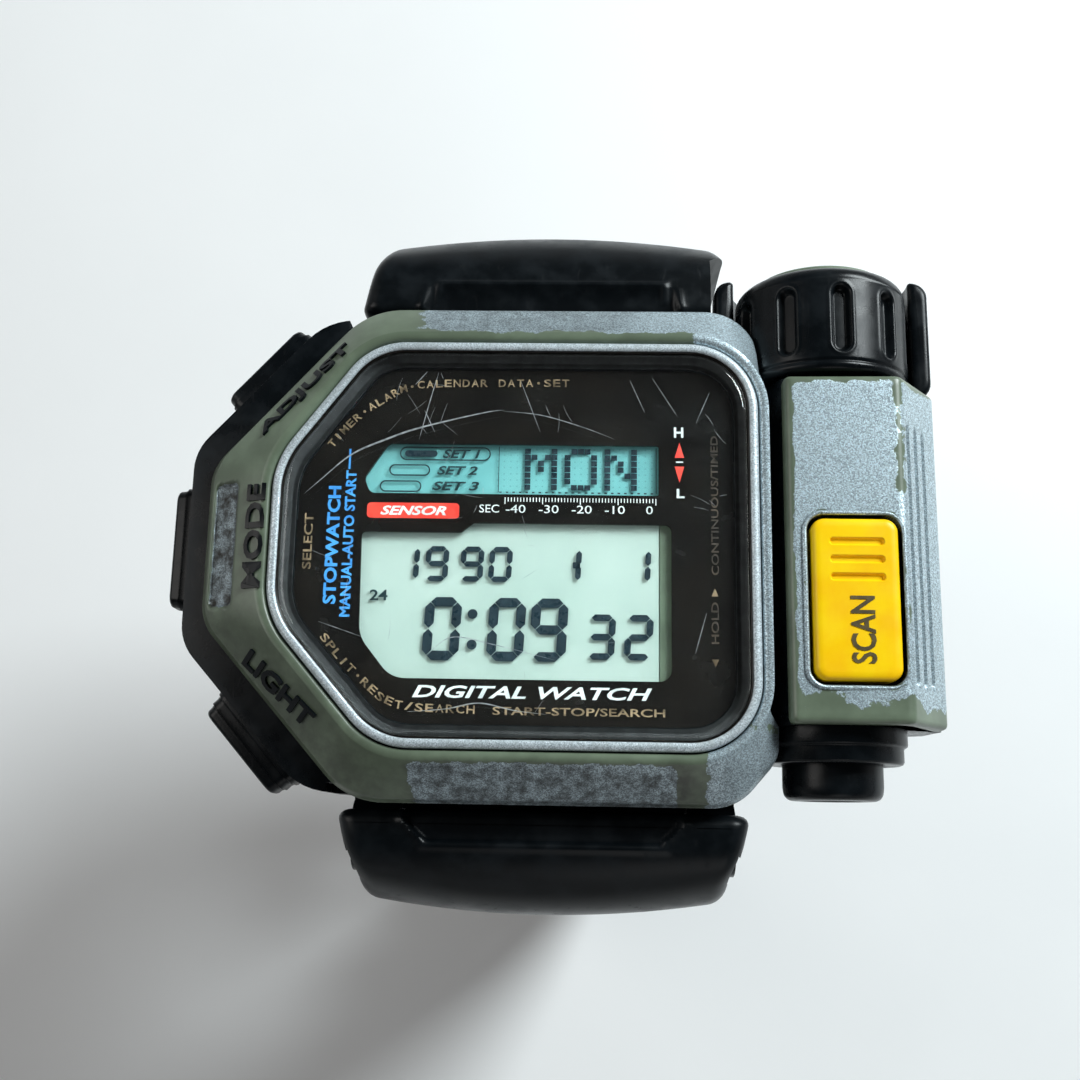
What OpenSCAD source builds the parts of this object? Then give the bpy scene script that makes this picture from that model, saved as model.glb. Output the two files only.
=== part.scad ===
// Digital wristwatch with an infrared thermometer tube on its right side.
// Frame: +Z out of the dial, +Y to twelve o'clock, +X to three o'clock (the tube side).
// Origin: on the outer face of the steel caseback, on the centre line of the strap.

/* [Watch head] */
// Height of the top face of the crystal above the caseback
crystal_top = 12.4; // [12.2:0.1:12.8]
// Thickness of the crystal
crystal_t = 1.5; // [1.2:0.1:1.6]
// Height of the top of the black case, under the bezel
case_top = 8.8; // [8.6:0.1:9.0]
// Height of the axes of the three side buttons
button_z = 5.2; // [4.8:0.1:5.4]
// Travel of each side button
button_travel = 0.9; // [0.5:0.1:0.9]

/* [Thermometer tube] */
// Distance of the tube's axis from the strap's centre line
tube_x = 21.8; // [21.8:0.1:22.2]
// Height of the tube's axis
tube_z = 6.2; // [6.0:0.1:6.4]
// Radius of the fluted sensor cap
cap_r = 6.75; // [6.6:0.05:6.8]
// Number of flutes around the sensor cap
cap_flutes = 10; // [8:1:12]
// Length of the housing behind the cap
tube_len = 26.3; // [26:0.1:26.4]
// Travel of the scan button
scan_travel = 0.8; // [0.5:0.1:0.8]
// Travel of the start button at the tube's lower end
start_travel = 1.0; // [0.6:0.1:1.0]

/* [Strap] */
// Distance of each spring bar from the middle of the watch
lug_y = 21.5; // [21.5:0.1:21.8]
// Height of the spring bars
lug_z = 3.5; // [3.4:0.1:3.6]
// Width of the strap at the lugs
strap_w = 31.2; // [31:0.1:31.4]
// Width of the strap at the buckle and the holes
strap_tail_w = 20; // [18:1:20]
// Thickness of the strap away from the lugs
strap_t = 2.8; // [2.6:0.1:3]
// Number of adjusting holes on the flat of the long half
hole_count = 5; // [3:1:5]
// Distance from one adjusting hole to the next
hole_pitch = 6; // [5:0.5:6]

/* [Hidden] */
$fn = 48;

gap = 0.3;            // clearance between parts that move past each other
fit = 0.05;           // radial clearance of a shaft in its bore
eps = 0.01;           // lets a cut run past a face

black = [0.06, 0.06, 0.07];
steel = [0.72, 0.72, 0.7];
silver_paint = [0.55, 0.55, 0.53];
olive = [0.42, 0.43, 0.36];
yellow = [0.95, 0.68, 0.08];

// Outline of the crystal: square on the tube side, cut at the two corners on the button side.
glass_pts = [[15.05, -14.65], [15.05, 14.65], [-13.2, 14.65], [-19.85, 5.6], [-19.85, -5.6], [-11.9, -14.65]];
glass_radii = [4.4, 4.4, 4.5, 6, 6, 5];
// Outline of the bezel's lower edge, with a small flare under the end of the tube.
bezel_pts = [[16.4, -12.2], [16.4, 19.3], [-14.4, 19.3], [-26.2, 6.1], [-26.2, -6.1], [-14.4, -19.3],
    [14.2, -19.3], [17.4, -15.6], [17.4, -13.4]];
bezel_radii = [0.8, 4.2, 6, 4, 4, 6, 4, 1.5, 0.6];
// Outline of the black case below the bezel.
case_pts = [[16.8, -18.6], [16.8, 18.6], [-17.9, 18.6], [-27.8, 7.6], [-27.8, -7.6], [-17.9, -18.6]];
case_radii = [5, 5, 5, 4, 4, 5];

ring_w = 0.75;                  // width of the bright ring around the crystal
ring_z = 10.6;                  // seat of the ring and the gasket
cavity_z = 1.2;                 // inner face of the caseback
notch_y = 17.4;                 // wall of the case between the lugs
sill_y = 19.65;                 // edge of the sill below the strap's knuckle
lug_in = 10.9;                  // inner face of the lugs
lug_out = 14.5;                 // outer face of the lugs
lug_out_tube = 12.7;            // outer face of the lug beside the sensor guard
lug_top = 5;                    // height of the lugs' necks
knuckle_x = 10.6;               // half width of the strap's knuckle
tube_y0 = -13.3;                // lower end of the tube housing
tube_y1 = tube_y0 + tube_len;   // upper end of the tube housing
start_in = tube_y0 - start_travel - 0.2;  // inner face of the start button's head
guard_r = cap_r + 1.85;         // outer radius of the guard around the cap
collar_r = 5.6;                 // radius of the collar at the tube's lower end
gasket_top = 1.6;               // depth of the groove for the caseback gasket
scan_c = [22.6, -4.32];         // centre of the scan button
scan_size = [6.35, 11.95];      // size of the scan button
// Each side button: [outward direction, offset along the wall, length of its head, how much further out
// than a corner button it stands, distance of its clip from the origin]
adjust_at = [138.2, 3.9, 9.2, 0, 17.6];
mode_at = [180, -0.25, 10.4, 1.7, 18.9];
light_at = [221.8, -3.9, 9.2, 0, 17.6];
side_buttons = [adjust_at, mode_at, light_at];
head_out = 28.0;                // outer face of a corner button from the origin, along its direction
head_in = 24.3;                 // inner face of its head
stem_r = 1.0;                   // radius of its stem
tube_side = 16.8;               // face of the tube housing against the case
scan_under = 10.85;             // underside of the scan button

// Strap profile: a shoulder over each lug, then the two halves hang below the watch.
shoulder_r = 6.8;
short_at = [22.1, 0.8];         // centre of the short half's shoulder, as [y, z]
long_at = [20.8, 0.8];          // centre of the long half's shoulder
short_r = 38;                   // bend of the short half
short_sweep = 70;
short_flat = 13;                // straight stretch from the bend to the buckle bar
long_drop = 41;                 // the long half goes straight down to this depth
long_r = 20;                    // bend of the long half
long_flat = 36;                 // length of its flat stretch
buckle_r = 0.8;                 // radius of the buckle bar

function unit(v) = v / norm(v);
function turn_at(a, b, c) = acos(unit(a - b) * unit(c - b));
// Points of a round corner of radius r at b, between a and c
function corner(a, b, c, r, n) = let(
        u = unit(a - b), v = unit(c - b), half = turn_at(a, b, c) / 2,
        mid = b + unit(u + v) * r / sin(half),
        p = b + u * r / tan(half) - mid,
        q = b + v * r / tan(half) - mid,
        a0 = atan2(p.y, p.x),
        da = (atan2(q.y, q.x) - a0 + 540) % 360 - 180)
    [for (i = [0:n]) mid + r * [cos(a0 + da * i / n), sin(a0 + da * i / n)]];
function wrap(p, i) = p[(i + len(p)) % len(p)];
function rounded(p, r, n = 6) =
    [for (i = [0:len(p) - 1]) each corner(wrap(p, i - 1), p[i], wrap(p, i + 1), r[i], n)];
// The same outline with every side moved outwards by d
function grown(p, d) = [for (i = [0:len(p) - 1]) let(
        u = unit(wrap(p, i - 1) - p[i]), v = unit(wrap(p, i + 1) - p[i]),
        half = turn_at(wrap(p, i - 1), p[i], wrap(p, i + 1)) / 2)
    p[i] - unit(u + v) * d / sin(half)];
function grown_radii(r, d) = [for (x = r) max(x + d, 0.4)];
function arc(c, r, a0, a1, n) =
    [for (i = [0:n]) let(a = a0 + (a1 - a0) * i / n) c + r * [cos(a), sin(a)]];

module slab(p, r, d, z0, z1) {
    translate([0, 0, z0]) linear_extrude(z1 - z0) polygon(rounded(grown(p, d), grown_radii(r, d)));
}
module glass_slab(d, z0, z1) { slab(glass_pts, glass_radii, d, z0, z1); }
module box(lo, hi) { translate(lo) cube(hi - lo); }
module rod_x(x0, x1, y, z, r) { translate([x0, y, z]) rotate([0, 90, 0]) cylinder(r = r, h = x1 - x0); }
module rod_y(x, y0, y1, z, r) { translate([x, y0, z]) rotate([-90, 0, 0]) cylinder(r = r, h = y1 - y0); }
module rod_z(x, y, z0, z1, r) { translate([x, y, z0]) cylinder(r = r, h = z1 - z0); }
module round_bar(size, r, z0, z1) {
    p = [[size.x, -size.y] / 2, [size.x, size.y] / 2, [-size.x, size.y] / 2, [-size.x, -size.y] / 2];
    translate([0, 0, z0]) linear_extrude(z1 - z0) polygon(rounded(p, [r, r, r, r]));
}
module mirror_y() { children(); mirror([0, 1, 0]) children(); }

// Places a side button: local +Z points out of the case, local X runs across its thickness.
module at_button(b) {
    rotate([0, 0, b[0]]) translate([0, b[1], button_z]) rotate([90, 0, 90]) children();
}

// ---- Case ----
boss_at = [[12.6, 12.2], [12.6, -12.2], [-16.6, 4.7], [-16.6, -4.7]];
boss_r = 1.9;
module bosses(z0, z1, r) { for (p = boss_at) rod_z(p.x, p.y, z0, z1, r); }

module lug(side, x0, x1) {
    mirror([0, side < 0 ? 1 : 0, 0]) {
        box([x0, notch_y - 1, 0.9], [x1, lug_y, lug_top]);
        rod_x(x0, x1, lug_y, 3.7, 2.8);
    }
}
// Through passage for one side button: pocket, spring well, o-ring seat and bore
module button_passage(b) {
    at_button(b) {
        translate([0, 0, b[3]]) {
            round_bar([b[2] + 0.5, 4.1], 1.2, head_in - button_travel - 0.2, 34);
            rod_z(0, 0, 21.4, 23.3, 1.9);
            rod_z(0, 0, 20.7, 21.5, 1.5);
        }
        rod_z(0, 0, b[4] - 2, 22 + b[3], stem_r + fit);
    }
}
module case_body() color(black) difference() {
    union() {
        difference() {
            slab(case_pts, case_radii, 0, 0.6, case_top);
            mirror_y() box([-lug_in, notch_y, -1], [lug_in, 30, 20]);
            mirror_y() box([-lug_out - 1.6, notch_y + 0.5, lug_top], [lug_out + 0.8, 30, 20]);
        }
        lug(1, -lug_out, -lug_in);
        lug(1, lug_in, lug_out_tube);
        lug(-1, -lug_out, -lug_in);
        lug(-1, lug_in, lug_out);
        glass_slab(ring_w + 0.1, case_top - 1, ring_z);
        mirror_y() box([-lug_in - 1, notch_y - 1, 0.9], [lug_in + 1, sill_y, 2.4]);
    }
    difference() {
        glass_slab(-0.4, cavity_z, 8.7);
        bosses(cavity_z, 8.8, boss_r);
    }
    glass_slab(-1, 8.6, ring_z + 1);
    glass_slab(1.05, -1, cavity_z);
    gasket_ring(cavity_z - eps, gasket_top, 0.8, 0.2);
    bosses(-1, 4.6, 0.8);
    for (b = side_buttons) button_passage(b);
    mirror_y() rod_x(-lug_out + 1.6, lug_out - 1.6, lug_y, lug_z, 0.5 + fit);
    rod_y(tube_x, tube_y1 - 0.1, 30, tube_z, guard_r + 0.25);
    rod_y(tube_x, -30, tube_y0, tube_z, collar_r + 0.15);
    box([13, -3, 4.4], [17.5, 1.6, 6.6]);
}

module bezel() color(silver_paint) difference() {
    hull() {
        slab(bezel_pts, bezel_radii, 0, case_top, case_top + 0.5);
        slab(glass_pts, glass_radii, 1.7, 12.2, 12.3);
    }
    glass_slab(ring_w + 0.15, case_top - 1, 14);
    box([tube_side - 0.2, tube_y0 - 0.2, 0], [40, tube_y1 + 0.2, 20]);
    rod_y(tube_x, tube_y1 - 0.1, 30, tube_z, cap_r + gap);
    rod_y(tube_x, -30, tube_y0, tube_z, collar_r + gap);
}
module crystal() color([0.7, 0.8, 0.85, 0.4]) glass_slab(0, crystal_top - crystal_t, crystal_top);
module crystal_ring() color(steel) difference() {
    glass_slab(ring_w, ring_z, crystal_top + 0.1);
    glass_slab(0.05, ring_z - 1, crystal_top + 1);
}
module crystal_gasket() color("dimgray") difference() {
    glass_slab(0, ring_z, crystal_top - crystal_t);
    glass_slab(-0.9, ring_z - 1, crystal_top);
}

// ---- Display and module ----
upper_window = [[-13.5, 3.4], [8.5, 7.7]];
lower_window = [[-13.2, -10.3], [9.45, 0.8]];
module window(w) { box([w[0].x, w[0].y, 9], [w[1].x, w[1].y, 12]); }
module dial_mask() color([0.1, 0.07, 0.06]) difference() {
    glass_slab(-1.1, 10.25, 10.5);
    window(upper_window);
    window(lower_window);
}
module lcd_panel() color([0.65, 0.72, 0.62]) intersection() {
    box([-14.4, -11.2, 8.9], [10.4, 8.6, 10.25]);
    glass_slab(-1.2, 8, 11);
}
module lcd_connectors() color("pink") for (y = [-10.2, 7.6]) box([-13, y, 7.0], [9, y + 1.4, 8.9]);
module backlight_bulb() color("white") {
    rod_y(11.7, -2, 2, 9.4, 0.6);
    box([11.2, -2.6, 8.8], [12.2, -2, 10]);
}
module stem_slot(b) { at_button(b) round_bar([4.2, 4.2], 1, b[4] - 1.7, 30); }
module module_frame() color([0.9, 0.88, 0.8]) difference() {
    glass_slab(-0.8, 2.1, 8.6);
    bosses(0, 20, boss_r + 0.2);
    for (b = side_buttons) stem_slot(b);
    box([-13.6, -11.2, 5.9], [10.4, 9.4, 9]);
    box([11, -3, 8.2], [12.4, 2.4, 9]);
    for (p = cell_at) rod_z(p.x, p.y, 1, 5.2, cell_r + 0.15);
    box([-11, -4.6, 1], [-1.4, 4.6, 6]);
    box([-12, -10, 4.2], [-4, -7, 6]);
    box([8.2, -2.8, 4.2], [20, 2.8, 6.8]);
    box([2.4, -9.2, 1], [6.0, 9.2, 2.55]);
    box([5.6, -1.7, 1], [10.2, 1.7, 2.55]);
    for (p = module_screw_at) rod_z(p.x, p.y, 4.6, 7, 0.5);
    rod_z(clip_screw.x, clip_screw.y, 2, 4.0, 0.5);
}
module circuit_board() color("darkgreen") difference() {
    box([-13.4, -11, 6.2], [10.2, 9.2, 7.0]);
    for (p = module_screw_at) rod_z(p.x, p.y, 6, 8, 0.55);
}
module processor_chip() color("black") box([-10, -4, 5.1], [-2, 4, 6.2]);
module quartz_crystal() color("silver") rod_x(-11.5, -5, -8.5, 5.2, 1);
cell_r = 4.75;
cell_at = [[4.2, 6.2], [4.2, -6.2]];
module coin_cells() color("silver") for (p = cell_at) {
    rod_z(p.x, p.y, 2.6, 3.0, cell_r - 0.5);
    rod_z(p.x, p.y, 3.0, 5.2, cell_r);
}
module_screw_at = [[-12.2, 5.6], [-12.2, -5.6]];
clip_screw = [7.4, 0];
module battery_clip() color("gold") difference() {
    union() {
        box([2.6, -9, 2.15], [5.8, 9, 2.55]);
        box([5.7, -1.5, 2.15], [10, 1.5, 2.55]);
    }
    rod_z(clip_screw.x, clip_screw.y, 1, 3, 0.5);
}
module module_screws() color("silver") {
    for (p = module_screw_at) {
        rod_z(p.x, p.y, 7.0, 7.5, 0.95);
        rod_z(p.x, p.y, 4.6, 7.0, 0.5);
    }
    rod_z(clip_screw.x, clip_screw.y, 1.7, 2.15, 0.95);
    rod_z(clip_screw.x, clip_screw.y, 2.15, 3.9, 0.5);
}
// Ribbon from the circuit board to the board in the tube, through the side of the case
module flex_cable() color("darkorange") {
    box([8.6, -2.4, 5.3], [9.8, 0.4, 6.2]);
    box([8.6, -2.4, 5.1], [19.9, 0.4, 5.3]);
    box([18.9, -2.4, 3.8], [19.9, 0.4, 5.1]);
}
module piezo_buzzer() color("gold") {
    rod_z(-6.2, 0, cavity_z, 1.4, 5.5);
    rod_z(-6.2, 0, 1.4, 1.6, 4.2);
}
module caseback() color(steel) difference() {
    glass_slab(1.0, 0, cavity_z);
    for (p = boss_at) {
        rod_z(p.x, p.y, -1, 0.75, 1.5);
        rod_z(p.x, p.y, -1, 2, 0.85);
    }
}
module gasket_ring(z0, z1, outer, inner) {
    difference() {
        glass_slab(outer, z0, z1);
        glass_slab(inner, z0 - 1, z1 + 1);
    }
}
module caseback_gasket() color("dimgray") gasket_ring(cavity_z, gasket_top, 0.78, 0.22);
module caseback_screws() color("silver") for (p = boss_at) difference() {
    union() {
        rod_z(p.x, p.y, 0.1, 0.75, 1.4);
        rod_z(p.x, p.y, 0.7, 4.4, 0.8);
    }
    box([p.x - 1.5, p.y - 0.15, 0], [p.x + 1.5, p.y + 0.15, 0.35]);
    box([p.x - 0.15, p.y - 1.5, 0], [p.x + 0.15, p.y + 1.5, 0.35]);
}

// ---- Side buttons ----
module side_button(b) color(black) at_button(b) difference() {
    union() {
        round_bar([b[2], 3.6], 1.0, head_in + b[3], head_out + b[3]);
        rod_z(0, 0, b[4] - 0.4, head_in + 0.1 + b[3], stem_r);
    }
    difference() {
        rod_z(0, 0, b[4], b[4] + 0.4, 2);
        rod_z(0, 0, b[4] - 1, b[4] + 1, 0.75);
    }
}
module side_clip(b) color("silver") at_button(b) difference() {
    rod_z(0, 0, b[4] + 0.02, b[4] + 0.38, 1.7);
    rod_z(0, 0, b[4] - 1, b[4] + 1, 0.75);
    translate([-0.6, 0, b[4] - 1]) cube([1.2, 2, 2]);
}
module adjust_button() side_button(adjust_at);
module mode_button() side_button(mode_at);
module light_button() side_button(light_at);
module adjust_clip() side_clip(adjust_at);
module mode_clip() side_clip(mode_at);
module light_clip() side_clip(light_at);
// A row of close turns, as long as the spring is when its button is pressed
module coil(r, wire, turns) {
    for (i = [0:turns - 1]) translate([0, 0, wire + 1.9 * wire * i])
        rotate_extrude() translate([r, 0]) circle(r = wire, $fn = 16);
}
module side_button_springs() color("silver")
    for (b = side_buttons) at_button(b) translate([0, 0, 21.5 + b[3]]) coil(1.45, 0.2, 4);
module side_button_orings() color("dimgray") for (b = side_buttons)
    at_button(b) translate([0, 0, 21.1 + b[3]])
        rotate_extrude() translate([1.27, 0]) circle(r = 0.22, $fn = 20);

// ---- Thermometer tube ----
// Section of the black housing, seen along +Y
tube_pts = [[tube_side, 0.9], [18, 0.4], [27.2, 0.4], [29.6, 2.4], [30, 6.4], [29.1, 6.6], [26, 11.8],
    [17.9, 11.5], [tube_side, 9.2]];
cover_pts = [[17.75, 11.5], [26, 11.8], [29.1, 6.6], [30.1, 6.4], [30.1, 8.2], [26.4, 13.2], [17.75, 12.95]];
module section_y(p, y0, y1) { translate([0, y1, 0]) rotate([90, 0, 0]) linear_extrude(y1 - y0) polygon(p); }
back_screw_y = [-9.7, 1.7];
module tube_body() color(black) difference() {
    section_y(tube_pts, tube_y0, tube_y1);
    rod_y(tube_x, 3.6, 20, tube_z, 4.45);
    rod_y(tube_x, -20, -8, tube_z, 1.2 + fit);
    rod_y(tube_x, -20, -11.8, tube_z, 2.2);
    box([18.6, -8.6, 0], [25.4, 0.6, 8.2]);
    translate([scan_c.x, scan_c.y, 0]) {
        round_bar([scan_size.x + 0.6, 14.1], 1, scan_under - scan_travel - 0.15, 20);
        rod_z(0, 0, 8.7, 10, 2.3);
        rod_z(0, 0, 6, 10, 1.2 + fit);
    }
    box([17.6, -10.6, -1], [26.4, 2.6, 1.4]);
    box([10, -3, 4.4], [19, 1.6, 6.6]);
    rod_y(tube_x, 0, 4, tube_z, 1.4);
    for (y = back_screw_y) rod_z(22, y, 0, 2.8, 0.5);
}
module tube_cover() color(silver_paint) difference() {
    section_y(cover_pts, tube_y0, tube_y1 - 0.2);
    translate([scan_c.x, scan_c.y, 0]) round_bar(scan_size + [0.5, 0.5], 1, 9, 20);
    for (x = [0:2]) translate([26.7 + 0.9 * x, 0, 13.1 - 1.25 * x]) rotate([0, 54, 0])
        box([-0.14, -10.5, -0.15], [0.14, 9, 1]);
}
module tube_back() color(black) difference() {
    box([17.7, -10.5, 0.4], [26.3, 2.5, 1.4]);
    for (y = back_screw_y) rod_z(22, y, -1, 3, 0.5);
    for (y = back_screw_y) rod_z(22, y, -1, 0.8, 0.9);
}
module tube_back_screws() color("silver") for (y = back_screw_y) {
    rod_z(22, y, 0.4, 0.8, 0.85);
    rod_z(22, y, 0.8, 2.8, 0.5);
}
module sensor_guard() color(black) difference() {
    rod_y(tube_x, tube_y1, 22.9, tube_z, guard_r);
    rod_y(tube_x, tube_y1 - 1, 30, tube_z, cap_r + gap);
    box([0, 0, tube_z + 1.3], [50, 40, 30]);
    box([0, 0, -5], [50, 40, -2]);
    glass_slab(1.3, -3, gasket_top + 0.3);
}
module lens_barrel() color([0.2, 0.2, 0.2]) difference() {
    union() {
        rod_y(tube_x, 3.7, tube_y1 + 1, tube_z, 4.4);
        rod_y(tube_x, tube_y1, 21.2, tube_z, 4.5);
    }
    rod_y(tube_x, 5.0, 30, tube_z, 3.0);
    rod_y(tube_x, 19.4, 30, tube_z, 3.6);
    rod_y(tube_x, 2, 6, tube_z, 2.2);
    difference() {
        rod_y(tube_x, 15.2, 16.2, tube_z, 5);
        rod_y(tube_x, 15, 17, tube_z, 4.0);
    }
}
// Turned about the tube's axis: [radius, distance along +Y]
module turned(p, n = 64) {
    translate([tube_x, 0, tube_z]) rotate([-90, 0, 0]) rotate_extrude($fn = n) polygon(p);
}
module sensor_lens() color([0.25, 0.22, 0.3]) turned([[0, 19.4], [3.6, 19.4], [3.6, 20.05],
    each arc([0, 11.8], 9, 68, 90, 6)]);
module thermopile() color("silver") {
    rod_y(tube_x, 6.3, 9.3, tube_z, 2.1);
    rod_y(tube_x, 5.9, 6.3, tube_z, 2.6);
    for (a = [45:90:315]) rod_y(tube_x + 1.3 * cos(a), 4.2, 6.0, tube_z + 1.3 * sin(a), 0.22);
}
module sensor_board() color("darkgreen") difference() {
    rod_y(tube_x, 5.0, 5.6, tube_z, 2.95);
    for (a = [45:90:315]) rod_y(tube_x + 1.3 * cos(a), 4, 7, tube_z + 1.3 * sin(a), 0.22);
}
module tube_oring() color("dimgray") translate([tube_x, 15.7, tube_z]) rotate([90, 0, 0])
    rotate_extrude() translate([4.26, 0]) circle(r = 0.26, $fn = 20);
module tube_collar() color(black) difference() {
    union() {
        rod_y(tube_x, -15.9, tube_y0, tube_z, 5.3);
        rod_y(tube_x, -14.6, tube_y0, tube_z, collar_r);
    }
    rod_y(tube_x, -20, -10, tube_z, 3.75 + fit);
}
flute_phase = 4;               // turn of the top flute from the vertical
module flute() { round_bar([1.5, 5.4], 0.74, cap_r - 0.75, cap_r + 2); }
module sensor_cap() color(black) difference() {
    turned([[4.5 + fit, 13.3], [cap_r - 0.4, 13.3], [cap_r, 13.8], [cap_r, 20.8],
        each arc([cap_r - 1, 20.9], 1, 0, 90, 6), [3.9, 21.9], [3.9, 21.4], [4.5 + fit, 21.4]], 96);
    for (i = [0:cap_flutes - 1]) translate([tube_x, 17.5, tube_z])
        rotate([0, flute_phase + i * 360 / cap_flutes, 0]) flute();
}
module cap_end_ring() color(olive)
    turned([[3.9, 21.9], [5.4, 21.9], [5.3, 22.3], [4.8, 22.6], [3.9, 22.7]], 96);
module scan_button() color(yellow) translate([scan_c.x, scan_c.y, 0]) {
    round_bar(scan_size, 0.9, 10.9, 13.6);
    round_bar([scan_size.x, 13.5], 0.9, scan_under, 11.3);
    rod_z(0, 0, 7.4, 10.9, 1.2);
}
module scan_spring() color("silver") translate([scan_c.x, scan_c.y, 8.7]) coil(1.75, 0.2, 3);
module scan_switch_board() color("darkgreen") {
    box([18.8, -8.4, 3.0], [25.2, 0.4, 3.8]);
    rod_z(scan_c.x, scan_c.y, 3.8, 6.4, 1.8);
}
module start_button() color(black) {
    rod_y(tube_x, -18.1, start_in, tube_z, 3.75);
    turned([[0, -18], [3.75, -18], each arc([3.15, -18], 0.6, -5, -90, 5), [0, -18.6]]);
    rod_y(tube_x, start_in - 0.1, -8.3, tube_z, 1.2);
}
module start_spring() color("silver") translate([tube_x, -11.85, tube_z]) rotate([90, 0, 0]) coil(1.7, 0.2, 4);

// ---- Strap ----
module spring_bar(side, x1) color("silver") {
    rod_x(-knuckle_x, knuckle_x, side * lug_y, lug_z, 0.9);
    rod_x(-lug_in - 1.5, x1, side * lug_y, lug_z, 0.5);
}
module spring_bar_12() spring_bar(1, lug_out_tube - 0.3);
module spring_bar_6() spring_bar(-1, lug_in + 1.5);

module section_x(p, w) {
    translate([-w / 2, 0, 0]) rotate([90, 0, 90]) linear_extrude(w) polygon(p);
}
// Outer and inner lines of the shoulder over the lug, as [y, z] points
function shoulder_top(c) = [[19.7, 6.9], [20.4, 7.6], each arc(c, shoulder_r, 90, 4, 10)];
function shoulder_under(c) = [each arc([c.x + 2.4, -0.6], 1.4, 0, 90, 4), [19.9, 0.8]];
short_c = [short_at.x + shoulder_r - short_r, short_at.y];
short_end = short_c + short_r * [cos(short_sweep), -sin(short_sweep)];
short_dir = [-sin(short_sweep), -cos(short_sweep)];
// Local frame at the end of the short half's bend: +Y along the strap, +Z out of its outer face
module at_short_end() {
    translate([0, short_end.x, short_end.y]) rotate([270 - short_sweep, 0, 0]) children();
}

function taper(z0, z1) = let(a = strap_w / 2, b = strap_tail_w / 2)
    [[a, 20], [a, z0], [b, z1], [b, -80], [-b, -80], [-b, z1], [-a, z0], [-a, 20]];
module taper_front(z0, z1) {
    translate([0, 60, 0]) rotate([90, 0, 0]) linear_extrude(120) polygon(taper(z0, z1));
}
// Seen from above, a shoulder narrows outwards and ends in two round corners and a slight bow
module shoulder_outline(reach) {
    w = strap_w / 2;
    p = [[w, -40], [w, 19.8], [w - 1.4, reach - 1.2], [0, reach + 0.3],
        [1.4 - w, reach - 1.2], [-w, 19.8], [-w, -40]];
    translate([0, 0, -70]) linear_extrude(90) polygon(rounded(p, [1, 6, 1.8, 70, 1.8, 6, 1], 8));
}
// Room for the lugs under the skin of the shoulder, and the bore for the spring bar
module lug_room() {
    for (s = [-1, 1]) scale([s, 1, 1]) {
        box([knuckle_x, 0, -5], [lug_out + 0.3, lug_y + 2.2, lug_z]);
        rod_x(knuckle_x, lug_out + 0.3, lug_y, lug_z, 3.4);
    }
    rod_x(-20, 20, lug_y, lug_z, 0.9 + fit);
    translate([0, 0, 7.2]) linear_extrude(2) polygon([[-10.2, 15], [10.2, 15], [10.2, 20.2], [8.8, 21.8],
        [-8.8, 21.8], [-10.2, 20.2]]);
}
// Corner of the shoulder beside the sensor guard
module guard_room() {
    translate([0, 0, -30]) linear_extrude(60)
        polygon([[12.9, 10], [12.9, 24.8], [16, 26.8], [20, 26.8], [20, 10]]);
}
module strap_12() color(black) difference() {
    intersection() {
        union() {
            section_x([each shoulder_top(short_at), each arc(short_c, short_r, 0, -short_sweep, 16),
                each arc(short_c, short_r - strap_t, -short_sweep, 0, 16),
                each shoulder_under(short_at)], strap_w);
            at_short_end() {
                box([-strap_tail_w / 2, -0.2, -strap_t], [strap_tail_w / 2, short_flat, 0]);
                rod_x(-strap_tail_w / 2, strap_tail_w / 2, short_flat, -strap_t / 2, strap_t / 2);
            }
        }
        taper_front(-2, -26);
        shoulder_outline(short_at.x + shoulder_r);
    }
    lug_room();
    guard_room();
    at_short_end() {
        rod_x(-20, 20, short_flat, -strap_t / 2, buckle_r);
        box([-1.6, short_flat - 2, -10], [1.6, short_flat + 5, 10]);
    }
}
long_wall = long_at.x + shoulder_r;
long_mid = [long_wall - long_r, long_at.y - long_drop];
long_base = long_mid.y - long_r;
module strap_6() color(black) mirror([0, 1, 0]) difference() {
    intersection() {
        section_x([each shoulder_top(long_at), each arc(long_mid, long_r, 0, -90, 14),
            [long_mid.x - long_flat, long_base], [long_mid.x - long_flat, long_base + strap_t],
            each arc(long_mid, long_r - strap_t, -90, 0, 14), each shoulder_under(long_at)], strap_w);
        shoulder_outline(long_wall);
        taper_front(-2, -40);
        linear_extrude(200, center = true) polygon(rounded([[20, 40], [-20, 40],
            [-20, long_mid.x - 20], [-strap_tail_w / 2, long_mid.x - 20],
            [-strap_tail_w / 2, long_mid.x - long_flat], [strap_tail_w / 2, long_mid.x - long_flat],
            [strap_tail_w / 2, long_mid.x - 20], [20, long_mid.x - 20]], [1, 1, 1, 1, 8, 8, 1, 1]));
    }
    lug_room();
    for (i = [0:hole_count - 1]) rod_z(0, long_mid.x + 2 - i * hole_pitch, long_base - 1, long_base + 5, 1.1);
    for (i = [1:3]) translate([0, long_mid.x, long_mid.y]) rotate([-90 + i * 20, 0, 0])
        rod_y(0, long_r - 6, long_r + 2, 0, 1.1);
}
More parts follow.
